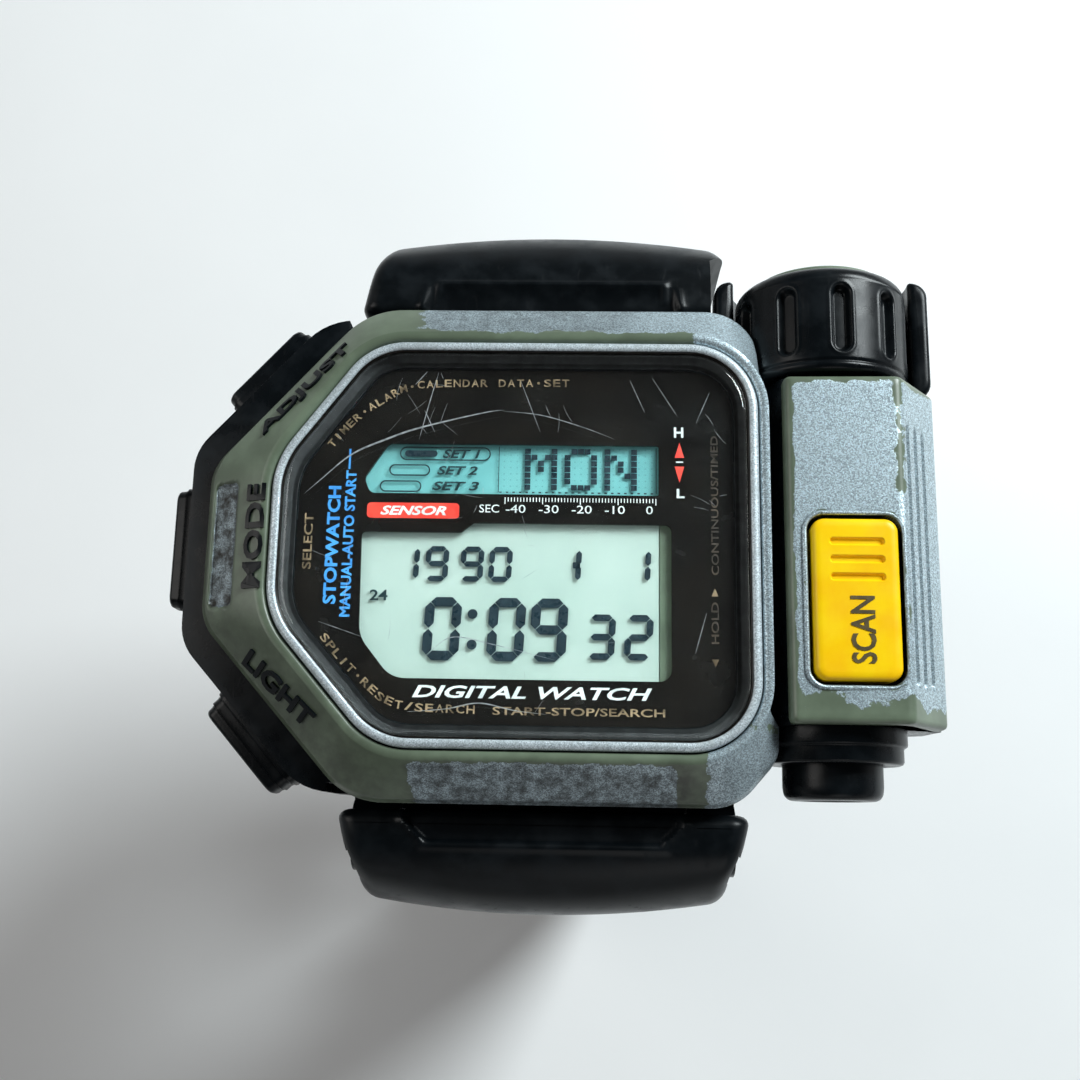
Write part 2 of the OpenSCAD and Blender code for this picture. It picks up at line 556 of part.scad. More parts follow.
// ---- Buckle ----
buckle_w = 25;
buckle_len = 10.2;             // from the bar to the outside of the frame
module buckle_bar() color("silver") at_short_end()
    rod_x(-buckle_w / 2 + 0.4, buckle_w / 2 - 0.4, short_flat, -strap_t / 2, buckle_r);
module buckle_frame() color("silver") at_short_end() translate([0, short_flat, -strap_t / 2]) difference() {
    union() {
        for (s = [-1, 1]) scale([s, 1, 1]) {
            box([buckle_w / 2 - 2.4, 0, -1.1], [buckle_w / 2, buckle_len - 1, 1.1]);
            rod_x(buckle_w / 2 - 2.4, buckle_w / 2, 0, 0, 1.6);
        }
        rod_x(-buckle_w / 2 + 0.2, buckle_w / 2 - 0.2, buckle_len - 1.1, 0, 1.1);
    }
    rod_x(-20, 20, 0, 0, buckle_r + fit);
}
module buckle_tongue() color("silver") at_short_end() translate([0, short_flat, -strap_t / 2]) difference() {
    union() {
        rod_x(-1.2, 1.2, 0, 0, 1.5);
        box([-0.8, 0, 0.95], [0.8, 3, 1.5]);
        box([-0.8, 2.5, 1.2], [0.8, buckle_len - 0.3, 2.0]);
    }
    rod_x(-20, 20, 0, 0, buckle_r + fit);
}
module keeper(y0, len, room) {
    w = strap_tail_w / 2 + 0.3;
    difference() {
        box([-w - 1.3, y0, -strap_t - 0.3 - 1.2], [w + 1.3, y0 + len, room + 1.2]);
        box([-w, y0 - 1, -strap_t - 0.3], [w, y0 + len + 1, room]);
    }
}
module fixed_keeper() color(black) at_short_end() translate([0, 7.4, 0]) difference() {
    box([-strap_tail_w / 2 - 1.4, 0, -strap_t - 1.2], [strap_tail_w / 2 + 1.4, 3.2, 4.2]);
    box([-strap_tail_w / 2, -1, -strap_t], [strap_tail_w / 2, 5, 3.2]);
}
module free_keeper() color(black) at_short_end() keeper(0.4, 3.6, 3.2);

case_body();
bezel();
crystal();
crystal_ring();
crystal_gasket();
dial_mask();
lcd_panel();
lcd_connectors();
backlight_bulb();
module_frame();
circuit_board();
processor_chip();
quartz_crystal();
coin_cells();
battery_clip();
module_screws();
flex_cable();
piezo_buzzer();
caseback();
caseback_gasket();
caseback_screws();
adjust_button();
adjust_clip();
mode_button();
mode_clip();
light_button();
light_clip();
side_button_springs();
side_button_orings();
tube_body();
tube_cover();
tube_back();
tube_back_screws();
sensor_guard();
lens_barrel();
sensor_lens();
thermopile();
sensor_board();
tube_oring();
tube_collar();
sensor_cap();
cap_end_ring();
scan_button();
scan_spring();
scan_switch_board();
start_button();
start_spring();
spring_bar_12();
spring_bar_6();
strap_12();
strap_6();
buckle_bar();
buckle_frame();
buckle_tongue();
fixed_keeper();
free_keeper();
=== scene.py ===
"""Looks of a digital wristwatch with an infrared thermometer tube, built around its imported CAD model."""
import math
import random

import bmesh
import bpy
import numpy as np
from mathutils import Matrix, Vector
from mathutils.bvhtree import BVHTree
from mathutils.geometry import tessellate_polygon


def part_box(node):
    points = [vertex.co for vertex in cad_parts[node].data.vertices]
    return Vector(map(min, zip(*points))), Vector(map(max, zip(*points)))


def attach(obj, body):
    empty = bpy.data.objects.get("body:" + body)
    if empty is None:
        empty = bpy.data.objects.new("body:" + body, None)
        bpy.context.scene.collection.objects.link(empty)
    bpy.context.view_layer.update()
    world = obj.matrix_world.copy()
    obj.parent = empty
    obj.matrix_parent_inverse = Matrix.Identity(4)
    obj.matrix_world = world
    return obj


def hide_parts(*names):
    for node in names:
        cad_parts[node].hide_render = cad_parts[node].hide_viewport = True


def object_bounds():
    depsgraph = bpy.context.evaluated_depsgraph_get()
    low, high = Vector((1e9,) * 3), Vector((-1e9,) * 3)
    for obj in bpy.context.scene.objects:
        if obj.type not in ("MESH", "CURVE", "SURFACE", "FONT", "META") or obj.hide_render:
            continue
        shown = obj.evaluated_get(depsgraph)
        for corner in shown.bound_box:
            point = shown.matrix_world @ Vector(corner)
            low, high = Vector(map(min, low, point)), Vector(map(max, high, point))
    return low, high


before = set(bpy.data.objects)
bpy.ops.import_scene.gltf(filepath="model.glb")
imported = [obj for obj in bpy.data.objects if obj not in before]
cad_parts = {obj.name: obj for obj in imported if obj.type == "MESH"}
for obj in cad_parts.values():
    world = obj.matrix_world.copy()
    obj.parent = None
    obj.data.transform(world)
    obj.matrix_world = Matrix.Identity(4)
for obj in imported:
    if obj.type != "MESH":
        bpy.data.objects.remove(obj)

cad_lo, cad_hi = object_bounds()

MM = 0.001
TAU = 2 * math.pi

# Shapes shared with the CAD source, in millimetres
GLASS = [(15.05, -14.65), (15.05, 14.65), (-13.2, 14.65), (-19.85, 5.6), (-19.85, -5.6), (-11.9, -14.65)]
GLASS_R = [4.4, 4.4, 4.5, 6, 6, 5]
BEZEL = [(16.4, -12.2), (16.4, 19.3), (-14.4, 19.3), (-26.2, 6.1), (-26.2, -6.1), (-14.4, -19.3),
         (14.2, -19.3), (17.4, -15.6), (17.4, -13.4)]
BEZEL_R = [0.8, 4.2, 6, 4, 4, 6, 4, 1.5, 0.6]
COVER = [(17.75, 11.5), (26, 11.8), (29.1, 6.6), (30.1, 6.4), (30.1, 8.2), (26.4, 13.2), (17.75, 12.95)]
COVER_R = [0.15, 1.0, 0.2, 0.15, 1.2, 0.9, 0.6]
SCAN_C = (22.6, -4.32)
SCAN_SIZE = (6.35, 11.95)
MASK_UNDER, MASK_TOP = 10.22, 10.5
INK = 0.02     # thickness of the dial's prints
LCD_UNDER, LCD_FACE = 9.3, 9.92
LCD_INK_Z = (10.10, 10.125)

cap_lo, cap_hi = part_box("sensor_cap")
TUBE_X = (cap_lo.x + cap_hi.x) / 2 / MM
TUBE_Z = (cap_lo.z + cap_hi.z) / 2 / MM
CAP_R = (cap_hi.x - cap_lo.x) / 2 / MM
GUARD_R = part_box("sensor_guard")[1].x / MM - TUBE_X
GLASS_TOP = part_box("crystal")[1].z / MM


# ---------------------------------------------------------------- outlines
def unit(v):
    return v / np.linalg.norm(v)


def rounded(points, radii, steps=10):
    """A closed outline with round corners."""
    points = [np.array(p, float) for p in points]
    out = []
    for i, b in enumerate(points):
        a, c, r = points[i - 1], points[(i + 1) % len(points)], radii[i]
        u, v = unit(a - b), unit(c - b)
        half = math.acos(float(np.clip(u @ v, -1, 1))) / 2
        mid = b + unit(u + v) * r / math.sin(half)
        p = b + u * r / math.tan(half) - mid
        q = b + v * r / math.tan(half) - mid
        start = math.atan2(p[1], p[0])
        turn = (math.atan2(q[1], q[0]) - start + 3 * math.pi) % TAU - math.pi
        angles = [start + turn * k / steps for k in range(steps + 1)]
        out += [mid + r * np.array([math.cos(t), math.sin(t)]) for t in angles]
    return np.array(out)


def cos_sin(degrees):
    return math.cos(math.radians(degrees)), math.sin(math.radians(degrees))


def polar(cx, cy, r, degrees):
    c, s = cos_sin(degrees)
    return cx + r * c, cy + r * s


def level(outline, z):
    """The outline as a ring of points at height z."""
    return np.column_stack([np.array(outline), np.full(len(outline), float(z))])


def grown(points, d):
    """The outline's corners with every side moved outwards by d."""
    points = [np.array(p, float) for p in points]
    out = []
    for i, b in enumerate(points):
        u, v = unit(points[i - 1] - b), unit(points[(i + 1) % len(points)] - b)
        half = math.acos(float(np.clip(u @ v, -1, 1))) / 2
        out.append(b - unit(u + v) * d / math.sin(half))
    return out


def even(outline, spacing):
    """The same closed outline, with points no further apart than spacing."""
    out = []
    for p, q in zip(outline, np.roll(outline, -1, 0)):
        n = max(1, math.ceil(np.linalg.norm(q - p) / spacing - 1e-6))
        if np.linalg.norm(q - p) > 1e-6:
            out += [p + (q - p) * k / n for k in range(n)]
    return np.array(out)


def cross(a, b):
    return a[..., 0] * b[..., 1] - a[..., 1] * b[..., 0]


def reach(outline, angles):
    """How far a closed outline lies from the origin along each angle."""
    side = np.roll(outline, -1, 0) - outline
    ray = np.stack([np.cos(angles), np.sin(angles)], 1)[:, None, :]
    across = cross(ray, side[None])
    across = np.where(np.abs(across) < 1e-12, 1e-12, across)
    r = cross(outline[None], side[None]) / across
    s = cross(outline[None], ray) / across
    return np.where((s > -1e-9) & (s < 1 + 1e-9) & (r > 0), r, 0).max(1)


def glass_outline(d):
    return rounded(grown(GLASS, d), [max(r + d, 0.4) for r in GLASS_R], 14)


def glass_points(d):
    return [tuple(p) for p in glass_outline(d)]


def around(outline, angles, z):
    """A ring of points at height z where the outline meets each angle."""
    r = reach(outline, angles)
    return np.stack([r * np.cos(angles), r * np.sin(angles), np.full(len(r), float(z))], 1)


def angles_of(outline, spacing):
    p = even(outline, spacing)
    return np.sort(np.arctan2(p[:, 1], p[:, 0]))


def smooth(x, lo, hi):
    t = np.clip((x - lo) / (hi - lo), 0, 1)
    return t * t * (3 - 2 * t)


def pad_distance(x, y, cx, cy, hx, hy, r):
    """Distance outside a rectangle with round corners; negative inside."""
    qx, qy = np.abs(x - cx) - hx + r, np.abs(y - cy) - hy + r
    return np.hypot(np.maximum(qx, 0), np.maximum(qy, 0)) + np.minimum(np.maximum(qx, qy), 0) - r


# ---------------------------------------------------------------- meshes
def new_object(name, mesh):
    ob = bpy.data.objects.new(name, mesh)
    bpy.context.scene.collection.objects.link(ob)
    return ob


def from_bmesh(name, bm, angle=40):
    bmesh.ops.recalc_face_normals(bm, faces=bm.faces)
    mesh = bpy.data.meshes.new(name)
    bm.to_mesh(mesh)
    bm.free()
    mesh.shade_smooth()
    mesh.set_sharp_from_angle(angle=math.radians(angle))
    return new_object(name, mesh)


def loft_into(bm, rings, closed=False):
    """Adds a skin over rings of points (in mm) with the same number of points each."""
    rows = [[bm.verts.new(Vector(p) * MM) for p in ring] for ring in rings]
    pairs = list(zip(rows, rows[1:])) + ([(rows[-1], rows[0])] if closed else [])
    for a, b in pairs:
        for i in range(len(a)):
            j = (i + 1) % len(a)
            bm.faces.new((a[i], a[j], b[j], b[i]))
    if not closed:
        bm.faces.new(rows[0])
        bm.faces.new(rows[-1])


def loft(name, rings, closed=False, angle=40):
    bm = bmesh.new()
    loft_into(bm, rings, closed)
    return from_bmesh(name, bm, angle)


def plate_into(bm, outer, holes, z0, z1):
    """Adds a flat plate with holes; the outlines are lists of (x, y)."""
    loops = [[Vector((x, y, 0)) for x, y in line] for line in [outer, *holes]]
    flat = [p for line in loops for p in line]
    low = [bm.verts.new(Vector((p.x, p.y, z0)) * MM) for p in flat]
    high = [bm.verts.new(Vector((p.x, p.y, z1)) * MM) for p in flat]
    for tri in tessellate_polygon(loops):
        bm.faces.new([high[i] for i in tri])
        bm.faces.new([low[i] for i in reversed(tri)])
    start = 0
    for line in loops:
        for i in range(len(line)):
            a, b = start + i, start + (i + 1) % len(line)
            bm.faces.new((low[a], low[b], high[b], high[a]))
        start += len(line)


def plates(name, items):
    """One piece made of several flat plates: (outer, holes, z0, z1) each."""
    bm = bmesh.new()
    for item in items:
        plate_into(bm, *item)
    return from_bmesh(name, bm)


def bar(x0, y0, x1, y1):
    return [(x0, y0), (x1, y0), (x1, y1), (x0, y1)]


def pill(cx, cy, w, h, r, steps=6):
    box = [(cx + a * w / 2, cy + b * h / 2) for a, b in ((1, -1), (1, 1), (-1, 1), (-1, -1))]
    return [tuple(p) for p in rounded(box, [r] * 4, steps)]


def finish_mesh(ob):
    """Applies the modifiers of an object to its mesh."""
    dg = bpy.context.evaluated_depsgraph_get()
    mesh = bpy.data.meshes.new_from_object(ob.evaluated_get(dg))
    ob.modifiers.clear()
    ob.data = mesh
    return ob


def cut(ob, tools, angle=40):
    """Takes the tools' shapes out of ob."""
    for tool in tools:
        m = ob.modifiers.new("cut", "BOOLEAN")
        m.operation, m.solver, m.object = "DIFFERENCE", "EXACT", tool
    finish_mesh(ob)
    for tool in tools:
        bpy.data.objects.remove(tool)
    ob.data.shade_smooth()
    ob.data.set_sharp_from_angle(angle=math.radians(angle))
    return ob


def tool_box(lo, hi):
    return plates("tool", [(bar(lo[0], lo[1], hi[0], hi[1]), [], lo[2], hi[2])])


def tool_rod(axis, start, end, centre, r, n=96):
    """A cylinder along axis 0, 1 or 2, from start to end, around centre (its two other coordinates)."""
    rings = []
    for t in (start, end):
        a = np.arange(n) / n * TAU
        ring = np.zeros((n, 3))
        others = [k for k in range(3) if k != axis]
        ring[:, axis] = t
        ring[:, others[0]] = centre[0] + r * np.cos(a)
        ring[:, others[1]] = centre[1] + r * np.sin(a)
        rings.append(ring)
    return loft("tool", rings)


def refined(node, width):
    """A copy of a CAD node's mesh with its edges rounded over."""
    bm = bmesh.new()
    bm.from_mesh(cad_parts[node].data)
    bmesh.ops.remove_doubles(bm, verts=bm.verts, dist=2e-6)
    bmesh.ops.dissolve_limit(bm, angle_limit=math.radians(0.7), verts=bm.verts, edges=bm.edges)
    mesh = bpy.data.meshes.new(node + "_piece")
    bm.to_mesh(mesh)
    bm.free()
    marks = ("custom_normal", "sharp_edge", "sharp_face")
    for extra in [a.name for a in mesh.attributes if a.name in marks]:
        mesh.attributes.remove(mesh.attributes[extra])
    ob = new_object(mesh.name, mesh)
    m = ob.modifiers.new("round", "BEVEL")
    m.width, m.segments, m.limit_method = width * MM, 3, "ANGLE"
    m.angle_limit, m.use_clamp_overlap = math.radians(32), True
    m.miter_outer = "MITER_ARC"
    finish_mesh(ob)
    ob.data.materials.clear()
    ob.data.shade_smooth()
    ob.data.set_sharp_from_angle(angle=math.radians(38))
    return ob


def measure(ob, name, field):
    """Stores field(x, y, z), in mm, on the vertices for the material to read."""
    co = np.zeros(len(ob.data.vertices) * 3)
    ob.data.vertices.foreach_get("co", co)
    co = co.reshape(-1, 3) / MM
    attribute = ob.data.attributes.new(name, "FLOAT", "POINT")
    attribute.data.foreach_set("value", field(co[:, 0], co[:, 1], co[:, 2]).astype(np.float32))


def place(ob, body, material, replaces=()):
    """Puts a piece on its body with its material."""
    ob.data.materials.clear()
    ob.data.materials.append(material)
    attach(ob, body)
    if replaces:
        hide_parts(*replaces)
    return ob


# ---------------------------------------------------------------- lettering
def word_bmesh(bm, text, height, depth, matrix, width=None, slant=0.0, weight=0.0):
    """Adds a word in Blender's own font. Its capitals are height tall; matrix sets its place."""
    curve = bpy.data.curves.new("word", "FONT")
    curve.body, curve.shear, curve.offset = text, slant, weight
    curve.resolution_u, curve.extrude = 3, 0.5
    ob = new_object("word", curve)
    dg = bpy.context.evaluated_depsgraph_get()
    mesh = bpy.data.meshes.new_from_object(ob.evaluated_get(dg))
    co = np.zeros(len(mesh.vertices) * 3)
    mesh.vertices.foreach_get("co", co)
    co = co.reshape(-1, 3)
    lo, hi = co.min(0), co.max(0)
    scale_y = height / (hi[1] - lo[1])
    scale_x = width / (hi[0] - lo[0]) if width else scale_y
    co = (co - (lo + hi) / 2) * [scale_x, scale_y, depth]
    co = co @ np.array(matrix.to_3x3()).T + np.array(matrix.translation)
    mesh.vertices.foreach_set("co", (co * MM).ravel())
    bmesh_part = bmesh.new()
    bmesh_part.from_mesh(mesh)
    bmesh.ops.remove_doubles(bmesh_part, verts=bmesh_part.verts, dist=1e-7)
    bmesh_part.to_mesh(mesh)
    bmesh_part.free()
    bm.from_mesh(mesh)
    bpy.data.objects.remove(ob)
    bpy.data.curves.remove(curve)
    bpy.data.meshes.remove(mesh)


def flat_at(x, y, z, degrees=0.0):
    return Matrix.Translation((x, y, z)) @ Matrix.Rotation(math.radians(degrees), 4, "Z")


def printed(outline):
    """A flat print on the dial, for plates or plate_into."""
    return outline, [], MASK_TOP, MASK_TOP + INK


def words_on_dial(name, words):
    """One piece of flat printed words: (text, x, y, degrees, height, width, slant, weight) each."""
    bm = bmesh.new()
    for text, x, y, degrees, height, width, slant, weight in words:
        at = flat_at(x, y, MASK_TOP + INK / 2, degrees)
        word_bmesh(bm, text, height, INK, at, width, slant, weight)
    return from_bmesh(name, bm)


def along(points, text, height, name_bm, pitch):
    """Writes text letter by letter along a line of (x, y) points."""
    points = np.array(points, float)
    steps = np.hypot(*np.diff(points, axis=0).T)
    total = np.concatenate([[0], np.cumsum(steps)])
    for i, letter in enumerate(text):
        s = pitch * (i + 0.5)
        if letter == " " or s > total[-1]:
            continue
        x, y = np.interp(s, total, points[:, 0]), np.interp(s, total, points[:, 1])
        k = min(np.searchsorted(total, s) - 1, len(steps) - 1)
        way = points[k + 1] - points[k]
        at = flat_at(x, y, MASK_TOP + INK / 2, math.degrees(math.atan2(way[1], way[0])))
        if letter in ".-":
            dot = [tuple((at @ Vector((px, py, 0)))[:2]) for px, py in pill(0, 0, 0.2, 0.2, 0.09, 3)]
            plate_into(name_bm, *printed(dot))
            continue
        width = pitch * (0.22 if letter == "I" else 0.78)
        word_bmesh(name_bm, letter, height, INK, at, width, 0.0, 0.012)


# ---------------------------------------------------------------- materials
class Look:
    """A node material built step by step around one Principled shader."""

    def __init__(self, name):
        self.mat = bpy.data.materials.new(name)
        self.mat.use_nodes = True
        self.nt = self.mat.node_tree
        self.shader = next(n for n in self.nt.nodes if n.type == "BSDF_PRINCIPLED")
        self.out = next(n for n in self.nt.nodes if n.type == "OUTPUT_MATERIAL")
        self.place = self.nt.nodes.new("ShaderNodeTexCoord").outputs["Object"]

    def set(self, **values):
        for key, value in values.items():
            self.shader.inputs[key.replace("_", " ")].default_value = value
        return self

    def link(self, output, socket):
        self.nt.links.new(output, self.shader.inputs[socket])

    def node(self, kind, **inputs):
        """A new node with the given inputs set; an underscore stands for a space."""
        n = self.nt.nodes.new("ShaderNode" + kind)
        for key, value in inputs.items():
            self.feed(n.inputs[key.replace("_", " ")], value)
        return n

    def feed(self, socket, value):
        if hasattr(value, "is_output"):
            self.nt.links.new(value, socket)
        else:
            socket.default_value = value

    def noise(self, size, detail=3.0, rough=0.55, stretch=None, distortion=0.0):
        """Noise whose blotches are about size mm across."""
        n = self.node("TexNoise", Scale=1 / (size * MM), Detail=detail, Roughness=rough,
                      Distortion=distortion, Vector=self.stretched(stretch))
        return n.outputs["Fac"]

    def stretched(self, stretch):
        if stretch is None:
            return self.place
        return self.node("Mapping", Scale=stretch, Vector=self.place).outputs["Vector"]

    def cells(self, size):
        """One random grey for each cell of about size mm."""
        v = self.node("TexVoronoi", Scale=1 / (size * MM), Vector=self.place)
        return self.node("SeparateColor", Color=v.outputs["Color"]).outputs[0]

    def span(self, value, lo, hi, to_lo=0.0, to_hi=1.0):
        m = self.node("MapRange")
        m.interpolation_type = "SMOOTHSTEP"
        for key, x in (("Value", value), ("From Min", lo), ("From Max", hi), ("To Min", to_lo),
                       ("To Max", to_hi)):
            self.feed(m.inputs[key], x)
        return m.outputs["Result"]

    def math(self, operation, a, b):
        m = self.node("Math")
        m.operation = operation
        self.feed(m.inputs[0], a)
        self.feed(m.inputs[1], b)
        return m.outputs[0]

    def mix(self, share, a, b):
        m = self.node("Mix")
        m.data_type = "RGBA"
        self.feed(m.inputs["Factor"], share)
        self.feed(m.inputs["A"], a if hasattr(a, "is_output") else (*a, 1))
        self.feed(m.inputs["B"], b if hasattr(b, "is_output") else (*b, 1))
        return m.outputs["Result"]

    def stored(self, name):
        a = self.node("Attribute")
        a.attribute_name = name
        return a.outputs["Fac"]

    def bump(self, height, strength, depth):
        b = self.node("Bump", Strength=strength, Distance=depth * MM, Height=height)
        self.link(b.outputs["Normal"], "Normal")
        return self


def plain(name, dark, light, size, rough=(0.4, 0.5), grain=0.1, strength=0.15, metallic=0.0,
          stretch=None, **more):
    """A material whose colour and roughness vary with noise, over a fine grain."""
    look = Look(name)
    blotch = look.noise(size, 4, stretch=stretch)
    look.link(look.mix(look.span(blotch, 0.3, 0.7), dark, light), "Base Color")
    look.link(look.span(look.noise(size * 0.6, 3, stretch=stretch), 0.25, 0.75, *rough), "Roughness")
    look.bump(look.noise(grain, 2, stretch=stretch), strength, grain * 0.3)
    look.set(Metallic=metallic, **more)
    return look.mat


def black_plastic(name, rough, grain):
    """Black resin: a faint grain, specks of dust and fine rubbed marks."""
    look = Look(name)
    cloud = look.span(look.noise(2.2, 5), 0.35, 0.75)
    dust = look.span(look.noise(0.22, 2), 0.70, 0.82, 0.0, 0.25)
    base = look.mix(cloud, (0.0020, 0.0032, 0.0042), (0.0055, 0.0078, 0.0098))
    look.link(look.mix(dust, base, (0.035, 0.037, 0.038)), "Base Color")
    rub = look.noise(0.5, 3, stretch=(1, 0.12, 1), distortion=0.6)
    rubbed = look.span(rub, 0.62, 0.75, 0.0, 0.14)
    look.link(look.math("ADD", look.span(cloud, 0, 1, rough, rough + 0.10), rubbed), "Roughness")
    look.bump(look.noise(grain, 2), 0.10, grain * 0.25)
    look.set(Specular_IOR_Level=0.2)
    return look.mat


def worn_paint(name):
    """Silver flake paint over olive resin; the mesh stores where the paint is left."""
    look = Look(name)
    edge = look.math("ADD", look.stored("paint"), look.span(look.noise(1.7, 5, 0.62), 0.2, 0.8, -0.42, 0.42))
    left = look.span(edge, 0.46, 0.54)
    flake = look.cells(0.075)
    shine = look.span(flake, 0.15, 1.0, 0.0, 1.0)
    # Partly painted reflection: part of the cool sky light's blue cast is put in the silver's colour
    silver = look.mix(shine, (0.20, 0.245, 0.27), (0.60, 0.73, 0.79))
    thin = look.span(look.noise(0.45, 4, 0.7), 0.60, 0.72, 0.0, 0.35)
    silver = look.mix(thin, silver, (0.15, 0.15, 0.135))
    grime = look.span(look.noise(3.5, 5), 0.35, 0.7)
    olive = look.mix(grime, (0.100, 0.130, 0.088), (0.145, 0.188, 0.130))
    # Painted shade: the stored painted_shade field, broken up by noise, darkens the colour towards near-black
    # brown
    painted_shade = look.math("MULTIPLY", look.stored("painted_shade"), look.span(look.noise(0.9, 4), 0.3, 0.7, 0.4, 1.0))
    both = look.mix(left, olive, silver)
    look.link(look.mix(painted_shade, both, (0.022, 0.020, 0.017)), "Base Color")
    look.link(look.math("MULTIPLY", left, look.span(shine, 0, 1, 0.35, 0.75)), "Metallic")
    look.link(look.span(left, 0, 1, 0.34, look.span(flake, 0, 1, 0.5, 0.36)), "Roughness")
    flakes = look.math("MULTIPLY", look.math("MULTIPLY", left, flake), 0.35)
    height = look.math("ADD", look.math("MULTIPLY", left, 0.6), flakes)
    look.bump(look.math("ADD", height, look.math("MULTIPLY", look.noise(0.12, 2), 0.12)), 0.35, 0.03)
    return look.mat


def sparkle(name):
    """The bright silver lip around the crystal."""
    look = Look(name)
    flake = look.cells(0.08)
    dull = look.span(look.noise(1.3, 4), 0.45, 0.75, 0.0, 0.6)
    silver = look.mix(flake, (0.28, 0.33, 0.36), (0.72, 0.80, 0.84))
    look.link(look.mix(dull, silver, (0.34, 0.38, 0.39)), "Base Color")
    look.link(look.span(flake, 0, 1, 0.55, 0.3), "Roughness")
    look.bump(flake, 0.35, 0.02)
    look.set(Metallic=0.3)
    return look.mat


def clear_glass(name):
    """Mineral glass that lets the lamps through, with faint wear in its polish."""
    look = Look(name)
    look.set(Base_Color=(0.93, 0.96, 0.96, 1), IOR=1.5, Transmission_Weight=1.0)
    hazy = look.span(look.noise(0.8, 5, 0.7, stretch=(1, 0.2, 1), distortion=1.2), 0.60, 0.80, 0.008, 0.10)
    look.link(hazy, "Roughness")
    clear = look.node("BsdfTransparent", Color=(0.9, 0.94, 0.93, 1))
    mixer = look.node("MixShader", Fac=look.node("LightPath").outputs["Is Shadow Ray"])
    look.nt.links.new(look.shader.outputs["BSDF"], mixer.inputs[1])
    look.nt.links.new(clear.outputs["BSDF"], mixer.inputs[2])
    look.nt.links.new(mixer.outputs["Shader"], look.out.inputs["Surface"])
    return look.mat


def lcd_back(name, dim, bright, dots):
    """The grey-green reflector behind the liquid crystal, with a faint cell grid."""
    look = Look(name)
    cloud = look.span(look.noise(9, 3), 0.3, 0.7)
    tone = look.mix(cloud, dim, bright)
    if dots:
        split = look.node("SeparateXYZ", Vector=look.place)
        holes = None
        for axis in ("X", "Y"):
            wave = look.math("SINE", look.math("MULTIPLY", split.outputs[axis], TAU / (0.49 * MM)), 0)
            near = look.span(wave, 0.55, 0.95)
            holes = near if holes is None else look.math("MULTIPLY", holes, near)
        side = look.span(split.outputs["X"], -4.0 * MM, -3.9 * MM)
        holes = look.math("MULTIPLY", holes, side)
        tone = look.mix(look.math("MULTIPLY", holes, 0.38), tone, tuple(c * 0.35 for c in dim))
    look.link(tone, "Base Color")
    look.link(look.span(look.noise(0.15, 2), 0.3, 0.7, 0.45, 0.6), "Roughness")
    return look.mat


def circuit(name):
    """Green solder mask with lighter copper tracks under it."""
    look = Look(name)
    tracks = look.node("TexBrick", Scale=1 / (2.2 * MM), Mortar_Size=0.06, Vector=look.place,
                       Color1=(0.01, 0.10, 0.035, 1), Color2=(0.012, 0.13, 0.04, 1),
                       Mortar=(0.10, 0.26, 0.07, 1))
    worn = look.span(look.noise(1.5, 4), 0.4, 0.7, 0, 0.35)
    look.link(look.mix(worn, tracks.outputs["Color"], (0.02, 0.16, 0.05)), "Base Color")
    look.link(look.span(look.noise(0.6, 3), 0.3, 0.7, 0.25, 0.4), "Roughness")
    look.bump(tracks.outputs["Fac"], 0.3, 0.03)
    return look.mat


BLACK = black_plastic("black_resin", 0.26, 0.16)
STRAP = black_plastic("strap_resin", 0.30, 0.09)
PAINT = worn_paint("worn_paint")
RING = sparkle("silver_lip")
CRYSTAL = clear_glass("mineral_glass")
OLIVE = plain("olive_resin", (0.100, 0.130, 0.088), (0.145, 0.188, 0.130), 2.5, (0.32, 0.45))
MASK = plain("dial_print_black", (0.0045, 0.0038, 0.0034), (0.009, 0.007, 0.0055), 6.0,
             (0.18, 0.28), 0.2, 0.03)
TEAL = lcd_back("lcd_teal", (0.135, 0.40, 0.41), (0.20, 0.50, 0.50), True)
GREEN = lcd_back("lcd_green", (0.40, 0.50, 0.45), (0.47, 0.56, 0.51), False)
LCD_INK = plain("lcd_segment", (0.010, 0.022, 0.032), (0.018, 0.034, 0.046), 1.2, (0.25, 0.35), 0.1, 0.02)
LCD_LINE = plain("lcd_line", (0.006, 0.024, 0.030), (0.012, 0.036, 0.042), 1.2, (0.3, 0.4), 0.1, 0.02)
GOLD = plain("worn_gold_print", (0.10, 0.065, 0.035), (0.42, 0.29, 0.17), 1.1, (0.35, 0.5), 0.08, 0.1)
BROWN = plain("faded_print", (0.030, 0.020, 0.014), (0.085, 0.055, 0.035), 1.5, (0.4, 0.5), 0.08, 0.1)
BLUE = plain("blue_print", (0.03, 0.22, 0.62), (0.07, 0.36, 0.80), 1.5, (0.4, 0.5), 0.08, 0.1)
WHITE = plain("white_print", (0.62, 0.64, 0.64), (0.85, 0.86, 0.86), 1.5, (0.4, 0.5), 0.08, 0.1)
RED = plain("red_print", (0.78, 0.035, 0.022), (0.95, 0.075, 0.045), 1.6, (0.35, 0.5), 0.08, 0.1)
YELLOW = plain("yellow_plastic", (0.96, 0.53, 0.002), (1.0, 0.66, 0.003), 3.5, (0.28, 0.40), 0.12, 0.06,
               Specular_IOR_Level=0.25)
